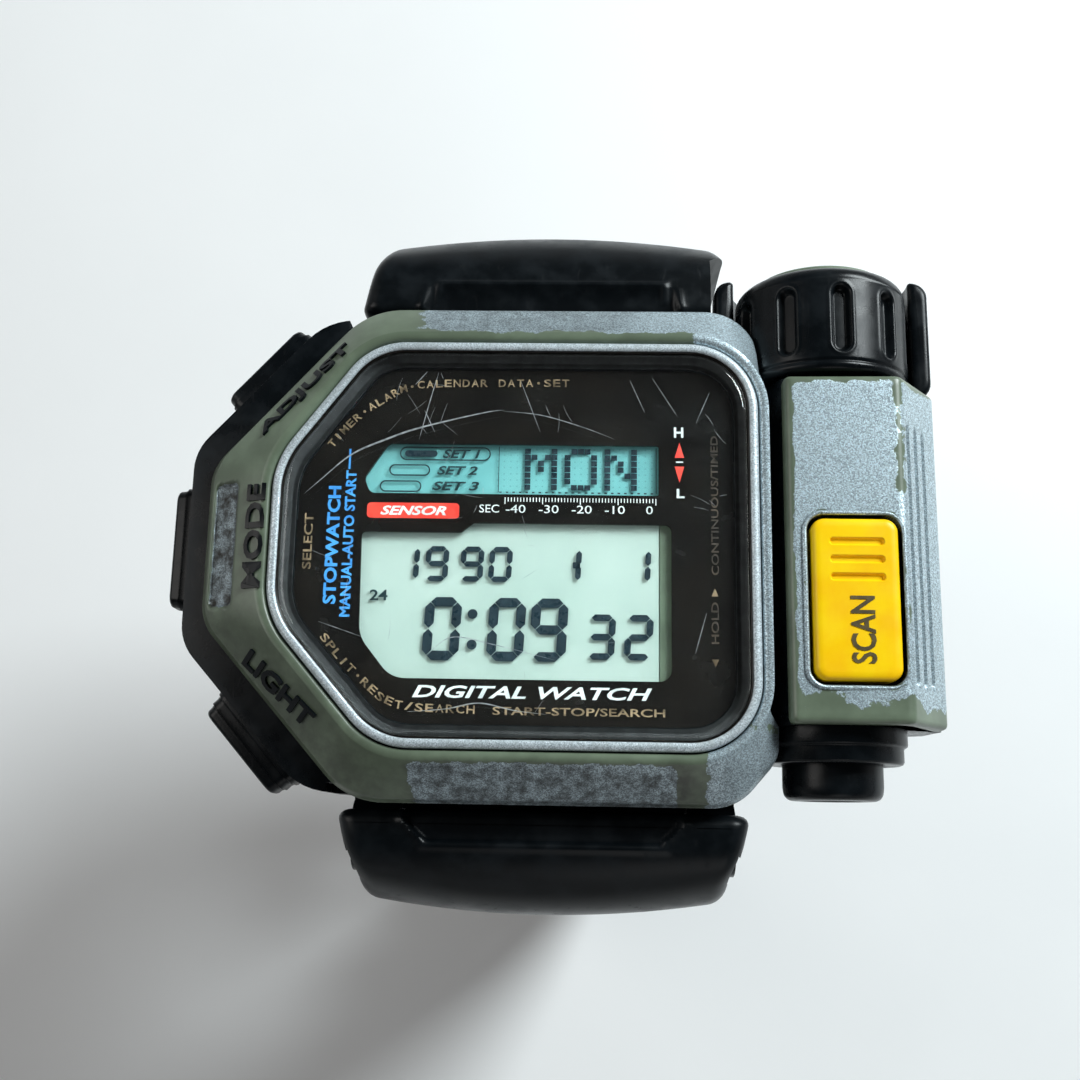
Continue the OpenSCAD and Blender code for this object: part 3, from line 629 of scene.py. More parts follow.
# Painted shade: dark brown, the colour of the yellow button in shade, for the engraved word SCAN
SCAN_SHADE = plain("scan_letter_shade", (0.055, 0.038, 0.010), (0.12, 0.085, 0.02), 1.0, (0.4, 0.5), 0.08, 0.1)
STEEL = plain("brushed_steel", (0.50, 0.50, 0.49), (0.68, 0.68, 0.66), 1.2, (0.24, 0.40), 0.12, 0.12,
              1.0, (1, 0.06, 1))
BRASS = plain("brass", (0.62, 0.42, 0.16), (0.78, 0.56, 0.24), 1.0, (0.25, 0.4), 0.1, 0.1, 1.0)
IVORY = plain("ivory_plastic", (0.66, 0.62, 0.50), (0.76, 0.73, 0.62), 2.0, (0.4, 0.5))
CHIP = plain("chip_epoxy", (0.012, 0.012, 0.014), (0.03, 0.03, 0.032), 0.8, (0.45, 0.6), 0.08, 0.2)
FILM = plain("amber_film", (0.50, 0.17, 0.02), (0.66, 0.27, 0.05), 1.2, (0.25, 0.35), 0.3, 0.1,
             0, (0.1, 1, 1))
SEAL = plain("seal_rubber", (0.012, 0.012, 0.013), (0.03, 0.03, 0.032), 0.9, (0.5, 0.65), 0.08, 0.2)
ZEBRA = plain("conductive_rubber", (0.03, 0.03, 0.035), (0.70, 0.35, 0.38), 0.35, (0.5, 0.6), 0.1, 0.1,
              0, (1, 0.02, 1))
LAMP = plain("lamp_glass", (0.70, 0.72, 0.66), (0.85, 0.86, 0.80), 0.8, (0.1, 0.2), 0.1, 0.02)
SILICON = plain("silicon_lens", (0.05, 0.045, 0.07), (0.09, 0.08, 0.12), 1.2, (0.08, 0.16), 0.2, 0.02, 0.6)
BARREL = plain("barrel_plastic", (0.02, 0.02, 0.02), (0.045, 0.045, 0.047), 0.8, (0.45, 0.6))
BOARD = circuit("circuit_board")
SCRATCH = plain("scratched_glass", (0.16, 0.18, 0.19), (0.42, 0.45, 0.47), 0.5, (0.3, 0.5), 0.05, 0.1)


# ---------------------------------------------------------------- bezel and crystal
PAD = (-24.5, -0.35, 1.05, 4.85, 0.5)     # recessed panel beside the mode button


def bezel_piece():
    angles = angles_of(rounded(BEZEL, BEZEL_R, 14), 0.21)
    outer = rounded(BEZEL, BEZEL_R, 14)
    inner = glass_outline(1.65)
    rings = [around(glass_outline(d), angles, z) for d, z in
             ((0.93, 8.85), (0.93, 11.8), (0.95, 12.05), (1.02, 12.19), (1.14, 12.27), (1.35, 12.31))]
    r_in, r_out = reach(inner, angles), reach(outer, angles)
    ray = np.stack([np.cos(angles), np.sin(angles)], 1)
    for v in np.concatenate([np.linspace(0, 0.90, 38), [0.93, 0.955, 0.975, 0.99, 1.0]]):
        r = r_in + (r_out - r_in) * v
        x, y = (ray * r[:, None]).T
        z = 12.29 - 2.50 * v - 0.55 * smooth(v, 0.89, 1.0) + 0.10 * math.sin(math.pi * min(v / 0.9, 1))
        dip = 0.30 * smooth(-pad_distance(x, y, *PAD), -0.02, 0.16)
        rings.append(np.stack([x, y, z - dip], 1))
    for d, z in ((0.0, 9.0), (-0.06, 8.88), (-0.2, 8.82)):
        rings.append(around(rounded(grown(BEZEL, d), [max(r + d, 0.3) for r in BEZEL_R], 14), angles, z))
    rings.append(around(glass_outline(1.2), angles, 8.82))
    ob = loft("bezel_piece", rings, closed=True, angle=50)
    return cut(ob, [tool_rod(1, 12.9, 30, (TUBE_X, TUBE_Z), CAP_R + 0.3, 160),
                    tool_rod(1, -30, -13.3, (TUBE_X, TUBE_Z), 5.9, 160)], 50)


def bezel_paint(x, y, z):
    """Where the silver paint is left on the bezel: the tube side, and a patch at the top and the bottom."""
    right = smooth(x, 9.0, 13.5) * smooth(y, -15.5, -12.0)
    top = smooth(y, 15.9, 16.9) * smooth(x, -11.5, -8.5)
    bottom = smooth(-y, 16.0, 16.9) * smooth(x, -10.4, -8.8) * smooth(-x, -10.3, -9.3)
    low_right = smooth(-y, 12, 15) * smooth(x, 11.2, 12.6)
    panel = 0.9 * smooth(-pad_distance(x, y, *PAD), 0.0, 0.2)
    outside = smooth(z, 8.9, 9.6)
    return np.maximum.reduce([right, top, bottom, low_right, panel]) * (0.35 + 0.65 * outside)


def bezel_shade(x, y, z):
    """Painted shade: darker along the lower left edge, low down on the left, over the top and bottom paint
    patches and in the recessed panel.
    """
    corner = smooth(-x - y, 20, 36) * 0.55
    panel = 1.0 * smooth(-pad_distance(x, y, *PAD), -0.1, 0.15)
    low = smooth(10.2 - z, 0.2, 1.2) * smooth(-x, 0, 12) * 0.6
    patch = smooth(x, -11.5, -8.5) * (0.85 * smooth(-y, 15.8, 16.8) * (1 - 0.6 * smooth(x, 10, 12))
                                      + 0.45 * smooth(y, 15.8, 16.8) * smooth(8.5 - x, 0, 4))
    return np.clip(np.maximum.reduce([corner, panel, low, patch]), 0, 1)


def crystal_piece():
    angles = angles_of(glass_outline(0), 0.3)
    steps = ((-0.6, 10.9), (-0.04, 10.95), (-0.02, 11.1), (-0.02, 11.98), (-0.04, 12.1), (-0.09, 12.2),
             (-0.26, 12.34), (-0.34, 12.375), (-0.46, 12.395), (-0.6, 12.4), (-2.0, 12.4))
    return loft("crystal_piece", [around(glass_outline(d), angles, z) for d, z in steps], angle=60)


def ring_piece():
    angles = angles_of(glass_outline(0.5), 0.3)
    steps = ((0.14, 10.65), (0.14, 12.3), (0.18, 12.4), (0.28, 12.46), (0.44, 12.48), (0.6, 12.45),
             (0.74, 12.36), (0.82, 12.2), (0.82, 10.65))
    rings = [around(glass_outline(d), angles, z) for d, z in steps]
    return loft("crystal_ring_piece", rings, closed=True, angle=60)


def liner_piece():
    """The black sleeve between the bright ring and the crystal."""
    angles = angles_of(glass_outline(0.1), 0.3)
    steps = ((0.02, 10.65), (0.02, 12.28), (0.07, 12.33), (0.13, 12.32), (0.13, 10.65))
    rings = [around(glass_outline(d), angles, z) for d, z in steps]
    return loft("crystal_liner", rings, closed=True, angle=60)


def scratches():
    """Fine raised burrs of old scratches on the crystal, each a thin tapered sliver."""
    rng = random.Random(11)
    bm = bmesh.new()
    limit = even(glass_outline(-1.6), 0.5)
    angles_l = np.arctan2(limit[:, 1], limit[:, 0])
    order = np.argsort(angles_l)

    def inside(x, y):
        edge = np.interp(math.atan2(y, x), angles_l[order], np.hypot(*limit.T)[order], period=TAU)
        return math.hypot(x, y) < edge

    def sliver(points, width):
        rows = []
        for i, (x, y) in enumerate(points):
            a, b = points[max(i - 1, 0)], points[min(i + 1, len(points) - 1)]
            side = np.array([-(b[1] - a[1]), b[0] - a[0]])
            side = side / (np.linalg.norm(side) + 1e-9)
            half = width / 2 * math.sin(math.pi * (i + 0.35) / (len(points) - 0.3)) + 0.004
            rows.append([(x + side[0] * half, y + side[1] * half, GLASS_TOP + 0.001),
                         (x, y, GLASS_TOP + 0.006),
                         (x - side[0] * half, y - side[1] * half, GLASS_TOP + 0.001)])
        loft_into(bm, rows)

    def curve_through(points):
        points = [points[0], *points, points[-1]]
        out = []
        for a, b, c, d in zip(points, points[1:], points[2:], points[3:]):
            a, b, c, d = (np.array(p, float) for p in (a, b, c, d))
            for t in np.arange(10) / 10:
                bend, twist = 2 * a - 5 * b + 4 * c - d, 3 * b - a - 3 * c + d
                out.append(0.5 * (2 * b + (c - a) * t + bend * t * t + twist * t ** 3))
        return [tuple(p) for p in out if inside(*p)]

    def arc_of(x, y, length, heading, bend, n=14):
        out = []
        for i in range(n):
            out.append((x, y))
            heading += bend / n
            x, y = x + math.cos(heading) * length / n, y + math.sin(heading) * length / n
        return [p for p in out if inside(*p)]

    lines = [([(-18.7, 2.8), (-17.1, 4.3), (-14.8, 6.35), (-12.3, 7.55), (-9.6, 8.55), (-4.9, 9.75),
               (-3.2, 10.0)], 0.13),
             ([(-3.4, 9.9), (-0.5, 9.6), (2.6, 8.7), (5.2, 7.7)], 0.05),
             ([(-8.3, 13.3), (-9.0, 10.6), (-9.75, 7.4)], 0.06),
             ([(-9.35, 9.9), (-8.5, 8.1)], 0.05), ([(-2.1, 12.3), (-0.45, 8.0)], 0.04),
             ([(-9.2, 13.1), (-10.2, 11.9)], 0.05),
             ([(-8.6, -8.9), (-6.8, -7.45), (-3.8, -7.9), (1.2, -9.1)], 0.06),
             ([(-16.6, -6.4), (-13.0, -7.6)], 0.03),
             ([(-9.8, -12.9), (-7.0, -12.65), (-4.6, -12.2), (-2.0, -12.7), (0.4, -12.95)], 0.08),
             ([(6.2, 12.4), (7.4, 9.7)], 0.03), ([(7.9, 12.6), (9.9, 9.4)], 0.03),
             ([(12.2, 11.5), (11.1, 8.9)], 0.04),
             ([(11.0, -8.4), (11.9, -5.2)], 0.04), ([(-14.6, -3.2), (-14.9, -6.0)], 0.03)]
    for points, width in lines:
        sliver(curve_through(points), width)
    for _ in range(46):
        x, y = rng.uniform(-18, 8), rng.uniform(-13, 13)
        if rng.random() < 0.5:
            if rng.random() < 0.4:
                x, y = rng.uniform(11.4, 14), rng.uniform(2, 13)
            else:
                x, y = rng.uniform(-17, -6), rng.uniform(7, 13)
        points = arc_of(x, y, rng.uniform(0.4, 2.2), rng.uniform(0, TAU), rng.uniform(-0.5, 0.5), 9)
        if len(points) > 3:
            sliver(points, rng.uniform(0.010, 0.022))
    return from_bmesh("crystal_scratches", bm)


# ---------------------------------------------------------------- dial
UPPER = [(-13.45, 3.75), (8.45, 3.75), (8.45, 7.68), (-12.15, 7.68), (-13.95, 4.9)]
UPPER_R = [0.6, 0.15, 0.15, 0.6, 0.7]
LOWER = [(-13.95, 0.75), (-13.8, -7.2), (-11.3, -10.3), (9.4, -10.3), (9.4, 1.5), (-5.5, 1.5), (-6.4, 0.75)]
LOWER_R = [0.3, 2.6, 2.2, 0.9, 0.5, 0.25, 0.25]


def mask_piece():
    outer = glass_points(-0.95)
    windows = [[tuple(p) for p in rounded(UPPER, UPPER_R, 6)], [tuple(p) for p in rounded(LOWER, LOWER_R, 8)]]
    return plates("dial_mask_piece", [(outer, windows, MASK_UNDER, MASK_TOP)])


def segment(cx, cy, w, h, way, t):
    """One chamfered bar of a seven-segment digit around (cx, cy)."""
    half = (w if way == "h" else h) / 2 - 0.06 * t * 5 / 3
    p = [(-half, 0), (-half + t / 2, t / 2), (half - t / 2, t / 2), (half, 0), (half - t / 2, -t / 2),
         (-half + t / 2, -t / 2)]
    return [(cx + a, cy + b) if way == "h" else (cx - b, cy + a) for a, b in p]


LEAN = 0.05     # of the display's digits
LIT = {"0": "abcdef", "1": "bc", "2": "abged", "3": "abgcd", "9": "abcdfg", "-": "g"}


def digit(text, x, y, w, h, t):
    """The lit bars of one digit whose lower left corner is at (x, y)."""
    where = {"a": (w / 2, h - t / 2, "h"), "g": (w / 2, h / 2, "h"), "d": (w / 2, t / 2, "h"),
             "f": (t / 2, h * 0.75 - t / 4, "v"), "b": (w - t / 2, h * 0.75 - t / 4, "v"),
             "e": (t / 2, h * 0.25 + t / 4, "v"), "c": (w - t / 2, h * 0.25 + t / 4, "v")}
    out = []
    for name in LIT[text]:
        cx, cy, way = where[name]
        points = segment(cx, cy, w - t * 0.9, h / 2 - t * 0.4, way, t)
        out.append([(x + a + LEAN * b, y + b) for a, b in points])
    return out


GLYPHS = {"M": ("10001", "11011", "10101", "10101", "10001", "10001", "10001"),
          "O": ("01110", "10001", "10001", "10001", "10001", "10001", "01110"),
          "N": ("10001", "11001", "10101", "10101", "10011", "10001", "10001")}


def lcd_pieces():
    ink_z0, ink_z1 = LCD_INK_Z
    bars = []
    for text, x in (("1", -11.35), ("9", -9.15), ("9", -6.5), ("0", -4.35), ("1", 0.85), ("1", 6.05)):
        bars += digit(text, x, -2.95, 1.75, 2.7, 0.42)
    for text, x in (("0", -9.15), ("0", -4.35), ("9", -1.2)):
        bars += digit(text, x, -8.9, 2.75, 4.75, 0.72)
    for text, x in (("3", 3.05), ("2", 5.85)):
        bars += digit(text, x, -8.7, 2.1, 3.4, 0.50)
    bars += [pill(-5.4, y, 0.74, 0.74, 0.36) for y in (-5.4, -7.7)]
    bars += [pill(-9.71, 7.0, 2.5, 0.5, 0.24), pill(2.3, -1.6, 0.55, 0.48, 0.08)]
    pitch = (0.507, 0.474)
    for k, letter in enumerate("MON"):
        for row, line in enumerate(GLYPHS[letter]):
            for col, on in enumerate(line):
                if on == "1":
                    x, y = -1.77 + (col + 6 * k) * pitch[0], 7.5 - (row + 1) * pitch[1]
                    bars.append(bar(x + 0.03, y + 0.03, x + pitch[0] - 0.03, y + pitch[1] - 0.03))
    segments = plates("lcd_segments", [(b, [], ink_z0, ink_z1) for b in bars])

    lines = []
    for x, y, w, h in ((-7.86, 7.0, 7.0, 1.1), (-10.55, 5.68, 3.15, 0.92), (-11.2, 4.4, 3.2, 0.92)):
        hole = pill(x, y, w - 0.22, h - 0.22, h / 2 - 0.12)
        lines.append((pill(x, y, w, h, h / 2 - 0.01), [hole], ink_z0, ink_z1))
    for x in (-3.75, 8.25):
        lines.append((bar(x, 4.0, x + 0.06, 7.6), [], ink_z0, ink_z1))
    for i in range(24):
        lines.append((bar(-3.65 + i * 0.5, 3.95, -3.45 + i * 0.5, 4.06), [], ink_z0, ink_z1))
    bm = bmesh.new()
    for item in lines:
        plate_into(bm, *item)
    for text, x, y, w in (("SET 1", -6.6, 7.0, 2.9), ("SET 2", -6.9, 5.68, 3.1), ("SET 3", -7.0, 4.45, 3.6)):
        word_bmesh(bm, text, 0.70, ink_z1 - ink_z0, flat_at(x, y, (ink_z0 + ink_z1) / 2), w, 0.25, 0.025)
    word_bmesh(bm, "24", 0.82, ink_z1 - ink_z0, flat_at(-12.5, -4.05, (ink_z0 + ink_z1) / 2), 1.35, 0, 0.02)
    outlines = from_bmesh("lcd_outlines", bm)

    upper = plates("lcd_upper", [(bar(-14.3, 2.6, 8.9, 8.5), [], LCD_UNDER, LCD_FACE)])
    lower = plates("lcd_lower", [(bar(-14.3, -11.1, 8.5, 2.5), [], LCD_UNDER, LCD_FACE)])
    edge = plates("lcd_edge", [(bar(8.55, -11.1, 10.3, 2.5), [], LCD_UNDER, 10.0)])
    return segments, outlines, upper, lower, edge


def dial_prints():
    gold = bmesh.new()
    along([(-16.75, 7.35), (-15.75, 8.65), (-14.9, 9.6), (-13.7, 10.6), (-11.5, 12.0), (-10.1, 12.4),
           (-7.9, 12.55), (2.0, 12.65)],
          "TIMER-ALARM-CALENDAR DATA-SET", 0.60, gold, 0.70)
    along([(-16.55, -7.1), (-15.6, -8.25), (-14.8, -9.15), (-13.9, -10.0), (-12.0, -11.7), (-10.7, -12.25),
           (-9.1, -12.45), (-5.0, -12.55)],
          "SPLIT-RESET/SEARCH", 0.60, gold, 0.76)
    for text, x, y, turn, h, w in (("SELECT", -18.0, -0.05, 90, 0.66, 4.3),
                                   ("START-STOP/SEARCH", 2.6, -12.6, 0, 0.58, 12.6)):
        word_bmesh(gold, text, h, INK, flat_at(x, y, MASK_TOP + INK / 2, turn), w, 0, 0.012)
    faded = words_on_dial("faded_lettering", [("HOLD", 12.6, -5.9, 90, 0.55, 3.1, 0, 0.01),
                                              ("CONTINUOUS/TIMED", 12.65, 3.1, 90, 0.55, 10.8, 0, 0.01)])
    blue = bmesh.new()
    word_bmesh(blue, "STOPWATCH", 0.98, INK, flat_at(-16.15, -0.3, MASK_TOP + INK / 2, 90), 9.1, 0, 0.035)
    word_bmesh(blue, "MANUAL-AUTO START", 0.80, INK, flat_at(-14.95, -0.15, MASK_TOP + INK / 2, 90),
               11.3, 0, 0.03)
    plate_into(blue, *printed(bar(-15.2, 5.6, -15.05, 7.2)))
    for y, way in ((-8.6, -0.6), (-3.9, 0.6)):
        arrow = [(12.35, y), (12.85, y), (12.6, y + way)]
        plate_into(gold, *printed(arrow if way > 0 else arrow[::-1]))
    white = [("H", 9.97, 8.75, 0, 0.82, 0.72, 0, 0.03), ("L", 10.1, 3.95, 0, 0.72, 0.6, 0, 0.03),
             ("DIGITAL WATCH", -0.85, -11.25, 0, 0.92, 17.6, 0.28, 0.022)]
    white += [(text, x, 2.62, 0, 0.62, w, 0, 0.0) for text, x, w in
              (("SEC", -4.35, 1.5), ("-40", -2.35, 1.5), ("-30", 0.15, 1.5), ("-20", 2.65, 1.5),
               ("-10", 5.15, 1.5), ("0", 7.75, 0.5))]
    letters = words_on_dial("white_lettering", white)
    marks = [bar(-3.2 + i * 0.2375, 3.42 - (0.42 if i % 12 == 0 else 0.24), -3.13 + i * 0.2375, 3.5)
             for i in range(49)]
    marks.append(bar(9.75, 6.36, 10.3, 6.46))
    ticks = plates("dial_ticks", [printed(m) for m in marks])
    red = [pill(-10.12, 2.4, 7.0, 1.2, 0.3), [(9.66, 6.75), (10.38, 6.75), (10.02, 7.95)],
           [(9.66, 6.06), (10.02, 4.8), (10.38, 6.06)]]
    badge = plates("red_badge", [printed(outline) for outline in red])
    on_badge = bmesh.new()
    word_bmesh(on_badge, "SENSOR", 0.72, 0.02, flat_at(-10.1, 2.4, MASK_TOP + INK + 0.01), 5.0, 0.3, 0.03)
    return {"gold_lettering": (from_bmesh("gold_lettering", gold), GOLD), "faded_lettering": (faded, BROWN),
            "blue_lettering": (from_bmesh("blue_lettering", blue), BLUE), "white_lettering": (letters, WHITE),
            "dial_ticks": (ticks, WHITE), "red_badge": (badge, RED),
            "badge_lettering": (from_bmesh("badge_lettering", on_badge), WHITE)}


# ---------------------------------------------------------------- raised labels
def tree_of(ob):
    return BVHTree.FromPolygons([v.co for v in ob.data.vertices], [p.vertices for p in ob.data.polygons])


def raised_label(bm, tree, text, x, y, degrees, height, width, depth, weight=0.02):
    """A word standing on the surface below (x, y); each of its points follows the slope."""
    word = bmesh.new()
    word_bmesh(word, text, height, depth, flat_at(x, y, 0, degrees), width, 0.0, weight)
    for v in word.verts:
        hit, normal, _, _ = tree.ray_cast(Vector((v.co.x, v.co.y, 0.03)), Vector((0, 0, -1)))
        v.co = hit + normal * (v.co.z + (depth / 2 - 0.12) * MM)
    mesh = bpy.data.meshes.new("word")
    word.to_mesh(mesh)
    word.free()
    bm.from_mesh(mesh)
    bpy.data.meshes.remove(mesh)


# ---------------------------------------------------------------- tube
def turned_rings(profile, n, move=None):
    """Rings of a shape turned about the tube's axis; profile is (radius, y) in mm."""
    a = np.arange(n) / n * TAU
    rings = []
    for r, y in profile:
        radius = np.full(n, float(r))
        if move is not None:
            radius = radius + move(a, y, r)
        x, z = TUBE_X + radius * np.cos(a), TUBE_Z + radius * np.sin(a)
        rings.append(np.stack([x, np.full(n, float(y)), z], 1))
    return rings


def arc_points(cx, cy, r, a0, a1, n):
    return [polar(cx, cy, r, a0 + (a1 - a0) * i / n) for i in range(n + 1)]


def flute_dip(a, y, r):
    """Ten long grooves around the cap, each with a faint raised lip."""
    if r < CAP_R - 0.6:
        return np.zeros(len(a))
    step = TAU / 10
    top = math.radians(90 - 4)
    across = ((a - top + step / 2) % step - step / 2) * CAP_R
    beyond = max(abs(y - 17.5) - 1.95, 0)
    distance = np.hypot(across, beyond) - 0.75
    return 0.05 * np.exp(-((distance - 0.2) / 0.13) ** 2) - 0.68 * smooth(-distance, -0.06, 0.30)


def cap_piece():
    profile = [(4.55, 21.4), (4.55, 13.35), (6.2, 13.3), (6.45, 13.36), (6.62, 13.5), (6.72, 13.7),
               (6.74, 13.9), (6.66, 14.0), (6.63, 14.08), (6.66, 14.16), (6.74, 14.26)]
    profile += [(CAP_R, y) for y in np.linspace(14.36, 20.75, 52)]
    profile += [(CAP_R - 1.15 + r, y) for r, y in arc_points(0, 20.75, 1.15, 0, 90, 12)]
    profile += [(5.35, 21.9), (3.95, 21.9), (3.95, 21.5)]
    return loft("sensor_cap_piece", turned_rings(profile, 560, flute_dip), closed=True, angle=60)


def end_ring_piece():
    profile = [(3.92, 21.85), (5.42, 21.85), (5.42, 22.1), (5.36, 22.26), (5.2, 22.38), (4.9, 22.52),
               (4.5, 22.62), (4.1, 22.68), (3.98, 22.66), (3.92, 22.58)]
    return loft("cap_end_ring_piece", turned_rings(profile, 160), closed=True, angle=50)


def guard_piece():
    """The half ring of black resin that shields the cap, with soft corners at its two upstanding ends."""
    profile = rounded([(CAP_R + 0.31, 13.02), (GUARD_R, 13.02), (GUARD_R, 22.88), (CAP_R + 0.31, 22.88)],
                      [0.25, 1.25, 1.3, 0.3], 10)
    middle = profile.mean(0)
    rise = math.degrees(math.asin(1.25 / GUARD_R))
    rings = [(rise, 0.5), (rise - 0.3, 0.26), (rise - 1.2, 0.08), (rise - 2.4, 0.0)]
    rings += [(t, 0.0) for t in np.linspace(rise - 4, -180 - rise + 4, 90)]
    rings += [(-180 - t, shrink) for t, shrink in reversed(rings[:4])]
    out = []
    for t, shrink in rings:
        away = profile - middle
        p = middle + away * np.maximum(1 - shrink / np.maximum(np.abs(away), 0.6), 0)
        c, s = cos_sin(t)
        out.append(np.stack([TUBE_X + p[:, 0] * c, p[:, 1], TUBE_Z + p[:, 0] * s], 1))
    ob = loft("sensor_guard_piece", out, angle=50)
    under = (glass_points(1.3), [], -5.0, 1.9)
    return cut(ob, [tool_box((0, 0, -8), (50, 40, -1.98)), plates("tool", [under])], 50)


def collar_piece():
    profile = [(3.82, -13.3), (3.82, -15.75), (3.95, -15.9), (5.05, -15.9), (5.2, -15.84), (5.3, -15.66),
               (5.3, -14.78), (5.34, -14.66), (5.46, -14.6), (5.56, -14.52), (5.6, -14.4), (5.6, -13.3)]
    return loft("tube_collar_piece", turned_rings(profile, 160), closed=True, angle=50)


def start_piece():
    profile = [(1.18, -8.3), (1.18, -14.5), (3.55, -14.5), (3.75, -14.7), (3.75, -15.95), (3.75, -17.5),
               (3.72, -17.8)]
    profile += [polar(3.0, -17.85, 0.7, -t) for t in range(10, 91, 10)]
    profile += [(2.4, -18.56), (2.25, -18.47), (1.9, -18.42), (0.3, -18.42)]
    return loft("start_button_piece", turned_rings(profile, 128), angle=50)


def cover_piece():
    line = even(rounded(COVER, COVER_R, 8), 0.13)
    ahead, behind = np.roll(line, -1, 0), np.roll(line, 1, 0)
    way = ahead - behind
    normal = np.stack([way[:, 1], -way[:, 0]], 1) / np.linalg.norm(way, axis=1)[:, None]
    if cross(line, ahead).sum() < 0:
        normal = -normal
    flank_a, flank_b = np.array(COVER[5]), np.array(COVER[4])
    flank = unit(flank_b - flank_a)
    along_flank = (line - flank_a) @ flank
    off_flank = np.abs(cross(line - flank_a, flank[None]))
    grooves = sum(smooth(0.27 - np.abs(along_flank - c), 0, 0.14) for c in (0.95, 2.35, 3.75))
    grooves = grooves * (off_flank < 0.5)
    y0, y1 = -13.3, 12.8
    ends = [(0.0, 0.42), (0.06, 0.24), (0.16, 0.1), (0.3, 0.03), (0.45, 0.0)]
    rows = [(y0 + a, b) for a, b in ends] + [(y, 0.0) for y in np.linspace(y0 + 0.8, y1 - 0.8, 86)]
    rows += [(y1 - a, b) for a, b in reversed(ends)]
    rings = []
    for y, inset in rows:
        depth = 0.30 * float(smooth(y, -10.7, -10.2) * smooth(-y, -9.2, -8.7))
        p = line - normal * (inset + depth * grooves)[:, None]
        rings.append(np.stack([p[:, 0], np.full(len(p), y), p[:, 1]], 1))
    ob = loft("tube_cover_piece", rings, angle=45)
    pocket = pill(*SCAN_C, SCAN_SIZE[0] + 0.56, SCAN_SIZE[1] + 0.56, 1.2, 10)
    return cut(ob, [plates("tool", [(pocket, [], 9, 20)])], 45)


def cover_paint(x, y, z):
    """The paint on the cover is rubbed off along its edges and around the button."""
    inner_edge = smooth(x, 17.9, 18.7)
    ends = smooth(y, -13.2, -11.6) * smooth(-y, -12.75, -11.9)
    ridge = 1 - 0.75 * np.exp(-((x - 26.2) / 0.55) ** 2) * smooth(y, 1.5, 4.5)
    low = smooth(z, 6.6, 8.0)
    near = pad_distance(x, y, *SCAN_C, SCAN_SIZE[0] / 2 + 0.3, SCAN_SIZE[1] / 2 + 0.3, 1.2)
    rim = 0.45 + 0.55 * smooth(near, 0.1, 0.7)
    bottom = 1 - 0.45 * smooth(-y, 10.6, 11.6)
    return inner_edge * ends * ridge * (0.4 + 0.6 * low) * rim * bottom


def cover_shade(x, y, z):
    # Painted shade: darker in a band about a third of a millimetre wide around the button's recess
    near = pad_distance(x, y, *SCAN_C, SCAN_SIZE[0] / 2 + 0.3, SCAN_SIZE[1] / 2 + 0.3, 1.2)
    return np.clip(0.75 * smooth(0.35 - near, 0.0, 0.3), 0, 1)


def scan_rim_piece():
    """A thin raised lip around the button's recess."""
    rings = []
    for d, z in ((0.0, 12.3), (0.0, 13.06), (0.06, 13.16), (0.18, 13.2), (0.3, 13.15), (0.36, 13.02),
                 (0.36, 12.3)):
        outline = pill(*SCAN_C, SCAN_SIZE[0] + 0.56 + 2 * d, SCAN_SIZE[1] + 0.56 + 2 * d, 1.2 + d, 12)
        rings.append(level(outline, z))
    return loft("scan_rim", rings, closed=True, angle=60)


def scan_button_piece():
    bm = bmesh.new()
    rings = []
    for inset, z in ((0.3, 10.88), (0.0, 10.95), (0.0, 12.95), (0.03, 13.12), (0.10, 13.27), (0.22, 13.38),
                     (0.38, 13.44), (0.6, 13.47), (0.7, 13.475), (1.4, 13.475)):
        w, h = SCAN_SIZE[0] - 2 * inset, SCAN_SIZE[1] - 2 * inset
        rings.append(level(pill(*SCAN_C, w, h, max(1.0 - inset, 0.25), 10), z))
    loft_into(bm, rings)
    a = np.arange(32) / 32 * TAU
    stem = np.stack([SCAN_C[0] + 1.2 * np.cos(a), SCAN_C[1] + 1.2 * np.sin(a)], 1)
    loft_into(bm, [level(stem, 7.4), level(stem, 10.92)])
    slots = []
    for y in (-0.12, -1.44, -2.76):
        rows = []
        for grow, z in ((-0.1, 13.18), (0.0, 13.28), (0.02, 13.42), (0.1, 13.5), (0.1, 13.9)):
            rows.append(level(pill(22.7, y, 3.9 + 2 * grow, 0.5 + 2 * grow, 0.22 + grow, 6), z))
        slots.append(loft("tool", rows))
    return cut(from_bmesh("scan_button_piece", bm, 30), slots, 30)


def scan_word():
    # A thin raised word in painted shade stands in for the shaded engraved letters
    bm = bmesh.new()
    word_bmesh(bm, "SCAN", 1.78, 0.12, flat_at(22.95, -6.6, 13.47, 90), 4.9, 0.0, 0.02)
    return from_bmesh("scan_lettering", bm)


# ---------------------------------------------------------------- side buttons
SIDE = {"adjust_button": (138.2, 3.9, 9.2, 0.0, 17.6), "mode_button": (180.0, -0.25, 10.4, 1.7, 18.9),
        "light_button": (221.8, -3.9, 9.2, 0.0, 17.6)}


